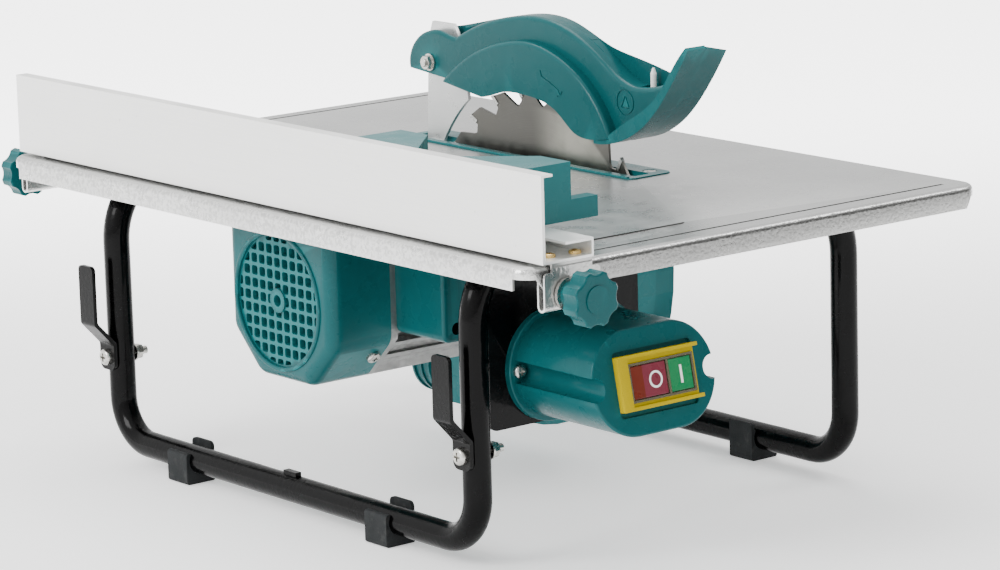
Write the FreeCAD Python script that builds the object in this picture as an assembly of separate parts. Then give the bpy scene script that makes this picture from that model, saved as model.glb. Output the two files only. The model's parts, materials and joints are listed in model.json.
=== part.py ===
"""Benchtop circular-saw table ("tile cutter"), built as separate named pieces.

Frame: millimetres, +X to the operator's right, +Y away from the operator, +Z up.
The floor is z = 0 and the middle of the table is x = y = 0.
Every sub-part has its own function and is written to parts/<name>.step.
"""
import FreeCAD, Part
import math
import os

V = FreeCAD.Vector
os.makedirs("parts", exist_ok=True)

# ---------------------------------------------------------------- driving sizes
TABLE_W = 335.0            # across the machine (X)
TABLE_L = 500.0            # along the blade (Y)
TABLE_TOP = 184.0          # working height above the floor
SHEET = 1.5                # table sheet thickness
SKIRT = 13.0               # depth of the folded skirt
BX = 52.5                  # centre plane of blade, riving knife and guard
AXIS_Y = 5.2               # arbor and motor axis
AXIS_Z = TABLE_TOP - 58.0
BLADE_R = 100.0
TEETH = 24
ARBOR_R = 8.0
TUBE_R = 8.0               # leg tube
LEG_X = 138.0
LEG_FRONT, LEG_REAR = -166.5, 179.0
LEG_Z = 14.0               # height of the lower tube centre line
RAIL_X = -159.1            # outer face of the rip fence
RAIL_FRONT, RAIL_REAR = -253.6, 249.2
RAIL_Z = TABLE_TOP + 1.6   # underside of the fence
KNOB_X, KNOB_Z = -142.0, TABLE_TOP - 15.8
PIVOT_Y, PIVOT_Z = 100.0, TABLE_TOP + 48.0     # guard hinge bolt
SWITCH_X, SWITCH_Z = -72.5, TABLE_TOP - 75.3
SWITCH_TILT = 12.0         # the switch face leans back by this many degrees
GAP = 0.3                  # space left between pieces that move past each other


# ---------------------------------------------------------------- small helpers
def box(x0, x1, y0, y1, z0, z1):
    return Part.makeBox(x1 - x0, y1 - y0, z1 - z0, V(x0, y0, z0))


def rod(axis, x, y, z, r, length):
    """Cylinder that starts at x, y, z and runs along +axis."""
    way = {"x": V(1, 0, 0), "y": V(0, 1, 0), "z": V(0, 0, 1)}[axis]
    return Part.makeCylinder(r, length, V(x, y, z), way)


def ring(axis, x, y, z, r_out, r_in, length):
    return rod(axis, x, y, z, r_out, length).cut(rod(axis, x, y, z, r_in, length))


def face_of(points):
    return Part.Face(Part.makePolygon(list(points) + [points[0]]))


def prism_x(yz, x0, x1):
    return face_of([V(x0, y, z) for y, z in yz]).extrude(V(x1 - x0, 0, 0))


def prism_y(xz, y0, y1):
    return face_of([V(x, y0, z) for x, z in xz]).extrude(V(0, y1 - y0, 0))


def prism_z(xy, z0, z1):
    return face_of([V(x, y, z0) for x, y in xy]).extrude(V(0, 0, z1 - z0))


def fuse(shapes):
    shapes = list(shapes)
    return shapes[0].multiFuse(shapes[1:]).removeSplitter() if len(shapes) > 1 else shapes[0]


def cut(shape, tools):
    return shape.cut(list(tools))


def soften(shape, radius, wanted):
    """Fillet the edges for which wanted(edge) is true; keep the shape if that fails."""
    edges = [e for e in shape.Edges if wanted(e)]
    if not edges:
        return shape
    try:
        out = shape.makeFillet(radius, edges)
        return out if out.isValid() and out.Volume > 0 else shape
    except Exception:
        return shape


def along(edge, axis):
    """True for a straight edge parallel to the axis."""
    if len(edge.Vertexes) != 2:
        return False
    d = edge.Vertexes[1].Point.sub(edge.Vertexes[0].Point)
    if d.Length < 1e-6 or abs(edge.Length - d.Length) > 1e-4:
        return False
    return abs(abs(getattr(d, axis)) / d.Length - 1.0) < 1e-5


def smooth(points, steps=8):
    """Points on a smooth curve through the given (a, b) points."""
    curve = Part.BSplineCurve()
    curve.interpolate([V(a, b, 0) for a, b in points])
    n = steps * (len(points) - 1)
    first, last = curve.FirstParameter, curve.LastParameter
    where = [curve.value(first + (last - first) * i / n) for i in range(n + 1)]
    return [(p.x, p.y) for p in where]


def inset(points, distance):
    """Shift an open run of (a, b) points sideways (to the left of travel)."""
    out = []
    for i, (a, b) in enumerate(points):
        a0, b0 = points[max(i - 1, 0)]
        a1, b1 = points[min(i + 1, len(points) - 1)]
        size = math.hypot(a1 - a0, b1 - b0)
        out.append((a - (b1 - b0) / size * distance, b + (a1 - a0) / size * distance))
    return out


def hexagon(across):
    r = across / math.sqrt(3.0)
    return [(r * math.cos(math.radians(60 * k)), r * math.sin(math.radians(60 * k)))
            for k in range(6)]


def turn(shape, point, axis, degrees):
    out = shape.copy()
    out.rotate(V(*point), V(*axis), degrees)
    return out


def pan_head(r, height):
    """Pan head standing on z = 0 with a cross recess, shank not included."""
    head = Part.makeCylinder(r, height, V(0, 0, 0))
    head = soften(head, height * 0.6, lambda e: abs(e.BoundBox.ZMin - height) < 1e-6)
    slot = r * 1.05
    cross = [Part.makeBox(slot, r * 0.28, height, V(-slot / 2, -r * 0.14, height * 0.5)),
             Part.makeBox(r * 0.28, slot, height, V(-r * 0.14, -slot / 2, height * 0.5))]
    return cut(head, cross)


def screw(point, direction, r_head, head, r_shank, length):
    """Pan-head screw: the head sits on `point`, the shank goes against `direction`."""
    body = fuse([pan_head(r_head, head), Part.makeCylinder(r_shank, length + 0.2, V(0, 0, -length))])
    turn_to = FreeCAD.Rotation(V(0, 0, 1), V(*direction))
    body.Placement = FreeCAD.Placement(V(*point), turn_to)
    return body


# ---------------------------------------------------------------- table
def table_top():
    hx, hy, t = TABLE_W / 2, TABLE_L / 2, SHEET
    outer = box(-hx, hx, -hy, hy, TABLE_TOP - SKIRT, TABLE_TOP)
    outer = soften(outer, 13.0, lambda e: along(e, "z"))
    outer = soften(outer, 3.6, lambda e: e.BoundBox.ZMin > TABLE_TOP - 0.01)
    inner = box(-hx + t, hx - t, -hy + t, hy - t, TABLE_TOP - SKIRT - 1, TABLE_TOP - t)
    inner = soften(inner, 13.0 - t, lambda e: along(e, "z"))
    inner = soften(inner, 2.1, lambda e: e.BoundBox.ZMin > TABLE_TOP - t - 0.01)
    top = outer.cut(inner)
    # the skirt stops short of each corner and leaves a shallow rolled rim there
    low, rim = TABLE_TOP - SKIRT - 1, TABLE_TOP - 6.6
    for sx in (-1, 1):
        for sy in (-1, 1):
            corner = [(sx * (hx - 13), low), (sx * (hx - 8), rim), (sx * (hx + 1), rim), (sx * (hx + 1), low)]
            y0, y1 = sorted((sy * (hy - 12), sy * (hy + 1)))
            top = top.cut(prism_y(corner, y0, y1))
    # opening for the insert and the working clearance below it
    opening = box(BX - 13.5, BX + 15.5, -92.0, 119.0, TABLE_TOP - 3, TABLE_TOP + 1)
    opening = soften(opening, 6.0, lambda e: along(e, "z"))
    seat = insert_outline(0.25, TABLE_TOP - 0.9, TABLE_TOP + 1)
    # pressed scale strip and two locating grooves near each end
    strip = prism_z([(-121.0, -228.0), (-47.0, -227.0), (-25.0, -213.0), (-25.0, -212.0),
                     (-121.0, -212.0)], TABLE_TOP - 0.8, TABLE_TOP + 1)
    grooves = [box(-150, 150, s * 236 - 1.2, s * 236 + 1.2, TABLE_TOP - 0.45, TABLE_TOP + 1)
               for s in (-1, 1)]
    return cut(top, [opening, seat, strip] + grooves)


def insert_outline(grow, z0, z1):
    """Table insert: a long strip whose front end is cut square and rear end rounded."""
    g = grow
    strip = box(BX - 15.7 - g, BX + 17.6 + g, -95 - g, 123 + g, z0, z1)
    return soften(strip, 5.0, lambda e: along(e, "z"))


def insert_screw_places():
    return [(BX + 10.1, -83.0), (BX - 9.5, 114.0), (BX + 11.0, 114.0)]


def table_insert():
    plate = insert_outline(0.0, TABLE_TOP - 0.9, TABLE_TOP + 0.7)
    keel = box(BX - 13.2, BX + 15.2, -91.7, 118.7, TABLE_TOP - 3.4, TABLE_TOP - 0.9)
    keel = soften(keel, 5.7, lambda e: along(e, "z"))
    rib = box(BX - 15.5, BX - 13.5, -92.0, 118.0, TABLE_TOP + 0.7, TABLE_TOP + 1.4)
    body = fuse([plate, keel, rib])
    slot = box(BX - 8.0, BX + 4.0, -90.0, 117.0, TABLE_TOP - 5, TABLE_TOP + 3)
    slot = soften(slot, 2.0, lambda e: along(e, "z"))
    tools = [slot]
    for x, y in insert_screw_places():
        tools.append(rod("z", x, y, TABLE_TOP - 5, 2.2, 8))
        tools.append(Part.makeCone(2.2, 4.4, 2.2, V(x, y, TABLE_TOP - 1.5), V(0, 0, 1)))
    return cut(body, tools)


def insert_screws():
    out = []
    for x, y in insert_screw_places():
        s = fuse([Part.makeCone(2.0, 3.7, 1.7, V(x, y, TABLE_TOP - 1.25), V(0, 0, 1)),
                  rod("z", x, y, TABLE_TOP - 3.9, 2.0, 2.7)])
        out.append(s.cut(box(x - 2.4, x + 2.4, y - 0.35, y + 0.35, TABLE_TOP - 0.3, TABLE_TOP + 2)))
    return Part.makeCompound(out)


# ---------------------------------------------------------------- legs
BEND_LOW, BEND_TOP = 27.0, 45.0
TOP_START = TABLE_TOP - 48.0
TOP_ANGLE = math.radians(52)
PAD_T = 3.0
PAD_HALF = 17.0              # half width of a fixing pad
TAB_Y = 6.0                  # small tab on the left lower tube


def leg_path(side):
    """Centre line of one bent leg; side is -1 for the left leg and +1 for the right."""
    x = side * LEG_X

    def upper(y):
        """Points of the top bend, from the upright to the pad."""
        c = V(x - side * BEND_TOP, y, TOP_START)
        mid, end = TOP_ANGLE / 2, TOP_ANGLE
        def at(a):
            return V(c.x + side * BEND_TOP * math.cos(a), y, c.z + BEND_TOP * math.sin(a))
        last = at(end)
        tail = last.add(V(-side * math.sin(end), 0, math.cos(end)).multiply(9.0))
        return at(0), at(mid), last, tail

    def lower(y, way):
        """Points of the bottom bend; way is +1 when the tube continues to the rear."""
        c = V(x, y + way * BEND_LOW, LEG_Z + BEND_LOW)
        k = BEND_LOW * math.sqrt(0.5)
        return V(x, y, c.z), V(x, c.y - way * k, c.z - k), V(x, c.y, LEG_Z)

    fa, fb, fc, fd = upper(LEG_FRONT)
    ra, rb, rc, rd = upper(LEG_REAR)
    f0, f1, f2 = lower(LEG_FRONT, 1)
    r0, r1, r2 = lower(LEG_REAR, -1)
    edges = [Part.LineSegment(fd, fc).toShape(), Part.Arc(fc, fb, fa).toShape(),
             Part.LineSegment(fa, f0).toShape(), Part.Arc(f0, f1, f2).toShape(),
             Part.LineSegment(f2, r2).toShape(), Part.Arc(r2, r1, r0).toShape(),
             Part.LineSegment(r0, ra).toShape(), Part.Arc(ra, rb, rc).toShape(),
             Part.LineSegment(rc, rd).toShape()]
    return Part.Wire(edges), fd, V(side * math.sin(TOP_ANGLE), 0, -math.cos(TOP_ANGLE))


def leg_tube(side, r):
    wire, start, tangent = leg_path(side)
    circle = Part.Wire(Part.makeCircle(r, start, tangent))
    return wire.makePipeShell([circle], True, False)


def pad_places(side):
    """Centres of the two fixing pads of a leg."""
    x = side * (LEG_X - BEND_TOP + BEND_TOP * math.cos(TOP_ANGLE) - 3.5)
    return [(x, LEG_FRONT), (x, LEG_REAR)]


def leg(side):
    z1 = TABLE_TOP - SHEET
    tube = leg_tube(side, TUBE_R)
    tube = tube.cut(box(-200, 200, -260, 260, z1 - PAD_T + 1.0, z1 + 40))
    pads = []
    for x, y in pad_places(side):
        pad = box(x - PAD_HALF, x + PAD_HALF, y - 20, y + 20, z1 - PAD_T, z1)
        pads.append(soften(pad, 4.0, lambda e: along(e, "z")))
    welded = [tube] + pads
    if side < 0:
        welded.append(box(-LEG_X - 2.0, -LEG_X + 2.0, TAB_Y - 6.0, TAB_Y + 6.0, LEG_Z + TUBE_R - 1.0,
                          LEG_Z + TUBE_R + 2.4))
    body = fuse(welded)
    bore = leg_tube(side, TUBE_R - 1.5)
    bore = bore.cut(box(-200, 200, -260, 260, z1 - PAD_T - 0.6, z1 + 40))
    tools = [bore]
    for x, y in leg_screw_places(side):
        tools.append(rod("z", x, y, z1 - PAD_T - 1, 2.7, PAD_T + 2))
    if side < 0:
        for y in (LEG_FRONT, LEG_REAR):
            tools.append(rod("x", -LEG_X - 12, y, HOOK_Z, 2.6, 24))
    return cut(body, tools)


def leg_screw_places(side):
    return [(x, y + s * 15.5) for x, y in pad_places(side) for s in (-1, 1)]


def leg_screws():
    z = TABLE_TOP - SHEET - PAD_T
    out = []
    for side in (-1, 1):
        for x, y in leg_screw_places(side):
            out.append(screw((x, y, z), (0, 0, -1), 4.2, 2.6, 2.5, PAD_T))
    return Part.makeCompound(out)


FOOT_Y = (-86.0, 109.0)
FOOT_LEN = 20.0


def foot_clip(side, y):
    """Rubber clip pushed up over the lower tube, open at the top; its inner wall stands higher."""
    x = side * LEG_X
    wall, half = 2.2, FOOT_LEN / 2
    top = LEG_Z + 5.0
    inner_top = LEG_Z + TUBE_R + 1.5
    y0, y1 = y - half, y + half
    block = box(x - TUBE_R - wall, x + TUBE_R + wall, y0, y1, 0.0, top)
    block = soften(block, 1.6, lambda e: along(e, "y") and e.Vertexes[0].Z < 1)
    block = soften(block, 1.9, lambda e: along(e, "y") and e.Vertexes[0].Z > top - 0.1
                   and e.Vertexes[0].X * side > x * side)
    face = x - side * (TUBE_R + wall)
    ear = box(min(face, face + side * wall), max(face, face + side * wall), y0, y1, top - 1.0, inner_top)
    ear = soften(ear, 3.0, lambda e: along(e, "x") and e.Vertexes[0].Z > inner_top - 0.1)
    hole = rod("y", x, y0 - 1, LEG_Z, TUBE_R + 0.05, FOOT_LEN + 2)
    mouth = box(x - TUBE_R + 1.0, x + TUBE_R - 1.0, y0 - 1, y1 + 1, LEG_Z, top + 5)
    return cut(fuse([block, ear]), [hole, mouth])


def foot_clips():
    return Part.makeCompound([foot_clip(s, y) for s in (-1, 1) for y in FOOT_Y])


# ---------------------------------------------------------------- storage hooks
HOOK_Z = TABLE_TOP - 118.0
HOOK_T = 2.4
HOOK_W = 15.0


def storage_hook(y):
    """Flat strap bolted to the outside of the left leg, stepped outwards and upwards."""
    x = -LEG_X - TUBE_R - 0.05
    t = HOOK_T
    out = 13.0
    side = [(x, HOOK_Z - 8), (x, HOOK_Z + 9), (x - out, HOOK_Z + 23), (x - out, HOOK_Z + 58),
            (x - out - t, HOOK_Z + 58), (x - out - t, HOOK_Z + 22), (x - t, HOOK_Z + 8),
            (x - t, HOOK_Z - 8)]
    strap = prism_y(side, y - HOOK_W / 2, y + HOOK_W / 2)
    strap = soften(strap, 3.0, lambda e: along(e, "y") and HOOK_Z < e.Vertexes[0].Z < HOOK_Z + 40)
    strap = soften(strap, 4.5, lambda e: along(e, "x") and e.Vertexes[0].Z < HOOK_Z)
    strap = soften(strap, 3.0, lambda e: along(e, "x") and e.Vertexes[0].Z > HOOK_Z + 50)
    return strap.cut(rod("x", x - 5, y, HOOK_Z, 2.6, 10))


def storage_hooks():
    return Part.makeCompound([storage_hook(LEG_FRONT), storage_hook(LEG_REAR)])


def hook_bolts():
    out = []
    for y in (LEG_FRONT, LEG_REAR):
        x = -LEG_X - TUBE_R - 0.05 - HOOK_T
        out.append(screw((x, y, HOOK_Z), (-1, 0, 0), 5.0, 3.4, 2.45, 28.0))
    return Part.makeCompound(out)


def hook_nuts():
    out = []
    x = -LEG_X + TUBE_R + 0.05
    for y in (LEG_FRONT, LEG_REAR):
        washer = ring("x", x, y, HOOK_Z, 5.4, 2.55, 1.2)
        nut = prism_x([(y + a, HOOK_Z + b) for a, b in hexagon(8.0)], x + 1.2, x + 5.4)
        nut = nut.cut(rod("x", x, y, HOOK_Z, 2.55, 8))
        out.append(washer.fuse(nut))
    return Part.makeCompound(out)


# ---------------------------------------------------------------- front plate and switch box
PLATE_Y0, PLATE_Y1 = -170.0, -168.0
PLATE_X0, PLATE_X1 = -132.2, -23.0
PLATE_Z0 = TABLE_TOP - 107.3
FLANGE_T = 4.0


def front_plate():
    z1 = TABLE_TOP - SHEET
    sheet = box(PLATE_X0, PLATE_X1, PLATE_Y0, PLATE_Y1, PLATE_Z0, z1)
    sheet = soften(sheet, 7.0, lambda e: along(e, "y") and e.Vertexes[0].Z < PLATE_Z0 + 1)
    # the upper left corner is cut away along the leg, which bends inwards there
    bend = [math.radians(a) for a in (0, 15, 30, 45, 52)]
    run = [(-LEG_X + BEND_TOP - BEND_TOP * math.cos(a), TOP_START + BEND_TOP * math.sin(a))
           for a in bend]
    pad_edge = pad_places(-1)[0][0] + PAD_HALF + GAP
    corner = prism_y([(-LEG_X, TOP_START)] + run[1:] + [(pad_edge, z1 - PAD_T - 1.5),
                     (pad_edge, z1 + 5), (-LEG_X, z1 + 5)], PLATE_Y0 - 1, PLATE_Y1 + 1)
    sheet = cut(sheet, [corner, leg_tube(-1, TUBE_R + 0.4)])
    fold = box(-78.0, PLATE_X1, PLATE_Y0, PLATE_Y0 + 22, z1 - 2.0, z1)
    body = fuse([sheet, fold])
    tools = [rod("z", x, PLATE_Y0 + 13, z1 - 4, 2.3, 6) for x in (-66.0, -34.0)]
    for x, z in switch_screw_places():
        tools.append(rod("y", x, PLATE_Y0 - 2, z, 1.9, 8))
    return cut(body, tools)


def plate_screws():
    z = TABLE_TOP - SHEET - 2.0
    return Part.makeCompound([screw((x, PLATE_Y0 + 13, z), (0, 0, -1), 4.0, 2.4, 2.2, 2.0)
                              for x in (-66.0, -34.0)])


SWITCH_W, SWITCH_HALF = 43.6, 28.7     # half width and half height of the barrel
SWITCH_FACE_Y = -240.0
GROOVE_X = 41.5


def switch_outline(grow, y0, y1):
    """Bar along Y with a flat top and bottom and half-round ends."""
    r, reach = SWITCH_HALF + grow, SWITCH_W - SWITCH_HALF
    ends = [rod("y", SWITCH_X + s * reach, y0, SWITCH_Z, r, y1 - y0) for s in (-1, 1)]
    middle = box(SWITCH_X - reach, SWITCH_X + reach, y0, y1, SWITCH_Z - r, SWITCH_Z + r)
    return fuse([middle] + ends)


def switch_face_tool(back):
    """Everything in front of the leaning switch face, moved back by `back`."""
    tool = box(-80, 80, -60, 0, -80, 80)
    tool.rotate(V(0, 0, 0), V(1, 0, 0), -SWITCH_TILT)
    tool.translate(V(SWITCH_X, SWITCH_FACE_Y + back, SWITCH_Z))
    return tool


def on_face(shape):
    """Place a piece drawn with its back on y = 0 onto the leaning switch face."""
    shape.rotate(V(0, 0, 0), V(1, 0, 0), -SWITCH_TILT)
    shape.translate(V(SWITCH_X, SWITCH_FACE_Y, SWITCH_Z))
    return shape


def switch_screw_places():
    return [(SWITCH_X - 40.5, SWITCH_Z), (SWITCH_X + 40.5, SWITCH_Z)]


def switch_box():
    y1 = PLATE_Y0
    barrel = switch_outline(0.0, SWITCH_FACE_Y - 14, y1 - 1.0).cut(switch_face_tool(0.0))
    barrel = soften(barrel, 1.2, lambda e: e.BoundBox.YMax < SWITCH_FACE_Y + 9 and not along(e, "y"))
    flange = switch_outline(3.2, y1 - FLANGE_T, y1)
    flange = soften(flange, 1.0, lambda e: e.BoundBox.YMax < y1 - FLANGE_T + 0.1 and not along(e, "y"))
    hollow = switch_outline(-2.6, SWITCH_FACE_Y - 14, y1 + 1).cut(switch_face_tool(3.4))
    pillars, grooves, drills = [], [], []
    for x, z in switch_screw_places():
        way = 1 if x > SWITCH_X else -1
        pillars.append(rod("y", SWITCH_X + way * GROOVE_X, SWITCH_FACE_Y + 1, z, 9.0, y1 - SWITCH_FACE_Y - 1))
        grooves.append(rod("y", SWITCH_X + way * GROOVE_X, SWITCH_FACE_Y - 20, z, 6.6,
                           y1 - SWITCH_FACE_Y + 20 - FLANGE_T))
        drills.append(rod("y", x, y1 - FLANGE_T - 2, z, 1.9, FLANGE_T + 4))
    inside = hollow.cut(pillars)
    window = on_face(box(COVER_X0, COVER_X1, -6, 6, -COVER_HALF, COVER_HALF))
    pocket = on_face(soften(box(-27.0, 28.5, -6, 1.6, -18.0, 18.0), 2.4, lambda e: along(e, "y")))
    return cut(fuse([barrel, flange]), [inside, window, pocket] + grooves + drills)


def switch_box_screws():
    y = PLATE_Y0 - FLANGE_T
    return Part.makeCompound([screw((x, y, z), (0, -1, 0), 3.9, 3.0, 1.8, FLANGE_T + 6)
                              for x, z in switch_screw_places()])


# positions on the leaning switch face: x across, y out of the face (negative), z up it
COVER_X0, COVER_X1, COVER_HALF = -20.3, 25.7, 10.7
STOP_X0, STOP_X1 = -18.6, 6.0
START_X0, START_X1 = 8.0, 24.0
BUTTON_HALF = 9.0


def switch_frame():
    """Yellow surround with two rails that stand out past its right-hand side."""
    z0, z1 = -14.7, 15.4
    seat = box(-26.7, 27.0, -3.0, 1.6, z0, z1)
    left = box(-27.0, -20.3, -4.2, 0.0, z0, z1)
    rails = [box(-27.0, 29.8, -4.2, 0.0, z, z + 2.0) for z in (z0, z1 - 2.0)]
    frame = fuse([seat, left] + rails)
    frame = soften(frame, 0.8, lambda e: along(e, "y") and e.Vertexes[0].X < -26.9)
    hole = box(COVER_X0, COVER_X1, -8, 8, -COVER_HALF, COVER_HALF)
    return on_face(cut(frame, [hole]))


def switch_cover():
    """Clear rim that holds the film around the two buttons."""
    outer = box(COVER_X0, COVER_X1, -3.8, 3.0, -COVER_HALF, COVER_HALF)
    h = BUTTON_HALF + GAP
    holes = [box(a - GAP, b + GAP, -8, 8, -h, h) for a, b in
             ((STOP_X0, STOP_X1), (START_X0, START_X1))]
    return on_face(cut(outer, holes))


def switch_button(x0, x1, mark):
    cap = box(x0, x1, -3.4, 5.0, -BUTTON_HALF, BUTTON_HALF)
    cap = soften(cap, 0.6, lambda e: e.BoundBox.YMax < -3.39)
    middle = (x0 + x1) / 2
    stem = box(middle - 3, middle + 3, 5.0, 10.0, -3.0, 3.0)
    if mark == "ring":
        sign = ring("y", middle + 4.2, -3.7, 0.0, 4.7, 3.5, 0.4)
    else:
        sign = box(middle - 0.8, middle + 0.8, -3.7, -3.3, -5.0, 5.0)
    return on_face(fuse([cap, stem, sign]))


def stop_button():
    return switch_button(STOP_X0, STOP_X1, "ring")


def start_button():
    return switch_button(START_X0, START_X1, "bar")


def switch_module():
    """Inner switch body behind the buttons, with a pocket for each stem."""
    body = box(-19.2, 24.6, 8.2, 30.0, -8.9, 8.9)
    arms = [box(-26.0, -19.2, 8.2, 11.0, -5, 5), box(24.6, 31.0, 8.2, 11.0, -5, 5)]
    posts = [box(-26.0, -23.0, 3.4, 8.2, -5, 5), box(28.0, 31.0, 3.4, 8.2, -5, 5)]
    pockets = [box(c - 3.4, c + 3.4, 7, 16, -3.4, 3.4)
               for c in ((STOP_X0 + STOP_X1) / 2, (START_X0 + START_X1) / 2)]
    tabs = [box(c - 0.4, c + 0.4, 30.0, 36.0, -3, 3) for c in (-13, -4, 6, 16)]
    return on_face(cut(fuse([body] + arms + posts + tabs), pockets))


# ---------------------------------------------------------------- motor
MOTOR_Y0, MOTOR_Y1 = -46.5, 53.0
MOTOR_Z0, MOTOR_Z1 = TABLE_TOP - 105.0, TABLE_TOP - 12.0
COWL_X0, COWL_X1 = -144.5, -102.5
SHIELD_X0, SHIELD_X1 = 15.0, 27.0
SHAFT_R = 6.0
CORNER = 25.0              # chamfer of the two lower motor corners
GUARD_X0, GUARD_X1 = BX - 14.0, BX + 14.0      # lower blade guard, outside faces


def motor_profile(margin):
    """Cross-section of the motor: flat top, two chamfered lower corners."""
    d = margin
    c = CORNER - d * (2 - math.sqrt(2))
    y0, y1, z0, z1 = MOTOR_Y0 + d, MOTOR_Y1 - d, MOTOR_Z0 + d, MOTOR_Z1 - d
    return [(y0, z1), (y1, z1), (y1, z0 + c), (y1 - c, z0), (y0 + c, z0), (y0, z0 + c)]


def motor_hull(margin, x0, x1, r_low=12.0, r_top=8.0):
    body = prism_x(motor_profile(margin), x0, x1)
    middle = (MOTOR_Z0 + MOTOR_Z1) / 2
    body = soften(body, max(r_low - margin, 1), lambda e: along(e, "x") and e.Vertexes[0].Z < middle)
    return soften(body, max(r_top - margin, 1), lambda e: along(e, "x") and e.Vertexes[0].Z > middle)


def cowl_screw_frames():
    """Point on each lower chamfer of the cowl and the outward direction there."""
    x, drop = -109.6, 16.0
    k = math.sqrt(0.5)
    return [((x, MOTOR_Y0 + CORNER - drop, MOTOR_Z0 + drop), (0, -k, -k)),
            ((x, MOTOR_Y1 - CORNER + drop, MOTOR_Z0 + drop), (0, k, -k))]


GRILLE_R = 38.4


def fan_cowl():
    """Shell over the fan; a thick square grille in its end face, ringed by a round bead."""
    wall, deep = 2.5, 5.5
    x = COWL_X0
    outer = motor_hull(0.0, x, COWL_X1)
    outer = soften(outer, 8.0, lambda e: e.BoundBox.XMax < x + 0.01)
    inner = motor_hull(wall, x + wall, COWL_X1 + 1)
    inner = soften(inner, 5.5, lambda e: e.BoundBox.XMax < x + wall + 0.01)
    bead = ring("x", x - 1.2, AXIS_Y, AXIS_Z, GRILLE_R + 3.0, GRILLE_R, 3.0)
    bead = soften(bead, 1.1, lambda e: e.BoundBox.XMax < x - 1.1)
    body = fuse([outer.cut(inner), rod("x", x + 0.5, AXIS_Y, AXIS_Z, GRILLE_R + 0.5, deep), bead])
    pitch, hole, count = 7.4, 5.5, 5
    squares = []
    for i in range(-count, count + 1):
        for j in range(-count, count + 1):
            if math.hypot(i, j) * pitch < GRILLE_R:
                y, z = AXIS_Y + i * pitch, AXIS_Z + j * pitch
                sq = box(x - 1, x + deep + 2, y - hole / 2, y + hole / 2, z - hole / 2, z + hole / 2)
                squares.append(soften(sq, 1.4, lambda e: along(e, "x")))
    mesh = ring("x", x - 1, AXIS_Y, AXIS_Z, GRILLE_R - 1.0, 7.2, deep + 3).common(Part.makeCompound(squares))
    recess = ring("x", x - 2, AXIS_Y, AXIS_Z, GRILLE_R, 7.0, 2.8)
    eye = rod("x", x - 1, AXIS_Y, AXIS_Z, 3.4, deep + 2)
    drills = [Part.makeCylinder(2.1, 8, V(*p).sub(V(*d).multiply(6)), V(*d))
              for p, d in cowl_screw_frames()]
    return cut(body, [mesh, recess, eye] + drills)


def cowl_screws():
    return Part.makeCompound([screw(p, d, 4.2, 3.0, 2.0, 8.0) for p, d in cowl_screw_frames()])


def motor_housing():
    x0, x1 = COWL_X1, SHIELD_X0
    envelope = prism_x(motor_profile(0.8), x0, x1)
    barrel = rod("x", x0, AXIS_Y, AXIS_Z, 42.0, x1 - x0)
    fins = []
    for k in range(-4, 5):
        z = AXIS_Z + 8.6 * k
        y = AXIS_Y + 8.6 * k
        fins.append(box(x0, x1, MOTOR_Y0 - 5, MOTOR_Y1 + 5, z - 1.2, z + 1.2))
        fins.append(box(x0, x1, y - 1.2, y + 1.2, MOTOR_Z0 - 5, AXIS_Z))
    saddle = box(x0, x1, AXIS_Y - 32, AXIS_Y + 32, AXIS_Z, MOTOR_Z1 - 2.0)
    rims = [prism_x(motor_profile(0.8), a, a + 5.0) for a in (x0, x1 - 5.0)]
    body = fuse([barrel, saddle] + fins + rims).common(envelope)
    bore = rod("x", x0 + 7, AXIS_Y, AXIS_Z, 38.0, x1 - x0)
    lugs = []
    for p, d in cowl_screw_frames():
        lug = Part.makeCylinder(5.0, 9.0, V(*p).sub(V(*d).multiply(2.6)), V(*d).multiply(-1))
        arm = box(-113.0, x0 + 4, p[1] - 3, p[1] + 3, p[2] + 4, p[2] + 9.5)
        drill = Part.makeCylinder(2.0, 6.0, V(*p).sub(V(*d).multiply(2.0)), V(*d).multiply(-1))
        side = 1 if d[1] < 0 else -1
        arm.translate(V(0, side * 6.0, 0))
        lugs.append(lug.fuse(arm).cut(drill))
    body = body.cut(bore)
    body = body.cut(rod("x", x0 - 1, AXIS_Y, AXIS_Z, 11.0, 10))
    return fuse([body] + lugs)


def motor_end_shield():
    plate = prism_x(motor_profile(0.8), SHIELD_X0, SHIELD_X1)
    neck = rod("x", SHIELD_X1, AXIS_Y, AXIS_Z, 20.0, GUARD_X0 - SHIELD_X1)
    ribs = [box(SHIELD_X1, SHIELD_X1 + 6, AXIS_Y - 36, AXIS_Y + 36, AXIS_Z - 1.5, AXIS_Z + 1.5),
            box(SHIELD_X1, SHIELD_X1 + 6, AXIS_Y - 1.5, AXIS_Y + 1.5, AXIS_Z - 36, AXIS_Z + 36)]
    seat = rod("x", SHIELD_X0 - 1, AXIS_Y, AXIS_Z, 14.0, 11.0)
    bore = rod("x", SHIELD_X0 - 1, AXIS_Y, AXIS_Z, 10.0, 40)
    return cut(fuse([plate, neck] + ribs), [seat, bore])


def motor_stator():
    core = ring("x", -85.0, AXIS_Y, AXIS_Z, 38.0, 24.3, 80.0)
    ends = [ring("x", x, AXIS_Y, AXIS_Z, 36.0, 26.0, 9.0) for x in (-94.0, -5.0)]
    ends = [soften(e, 3.0, lambda g: True) for e in ends]
    return fuse([core] + ends)


def motor_bearings():
    rear = ring("x", COWL_X1, AXIS_Y, AXIS_Z, 11.0, SHAFT_R + 0.05, 7.0)
    front = ring("x", SHIELD_X0 + 1.0, AXIS_Y, AXIS_Z, 14.0, ARBOR_R + 0.05, 9.0)
    return Part.makeCompound([rear, front])


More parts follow.
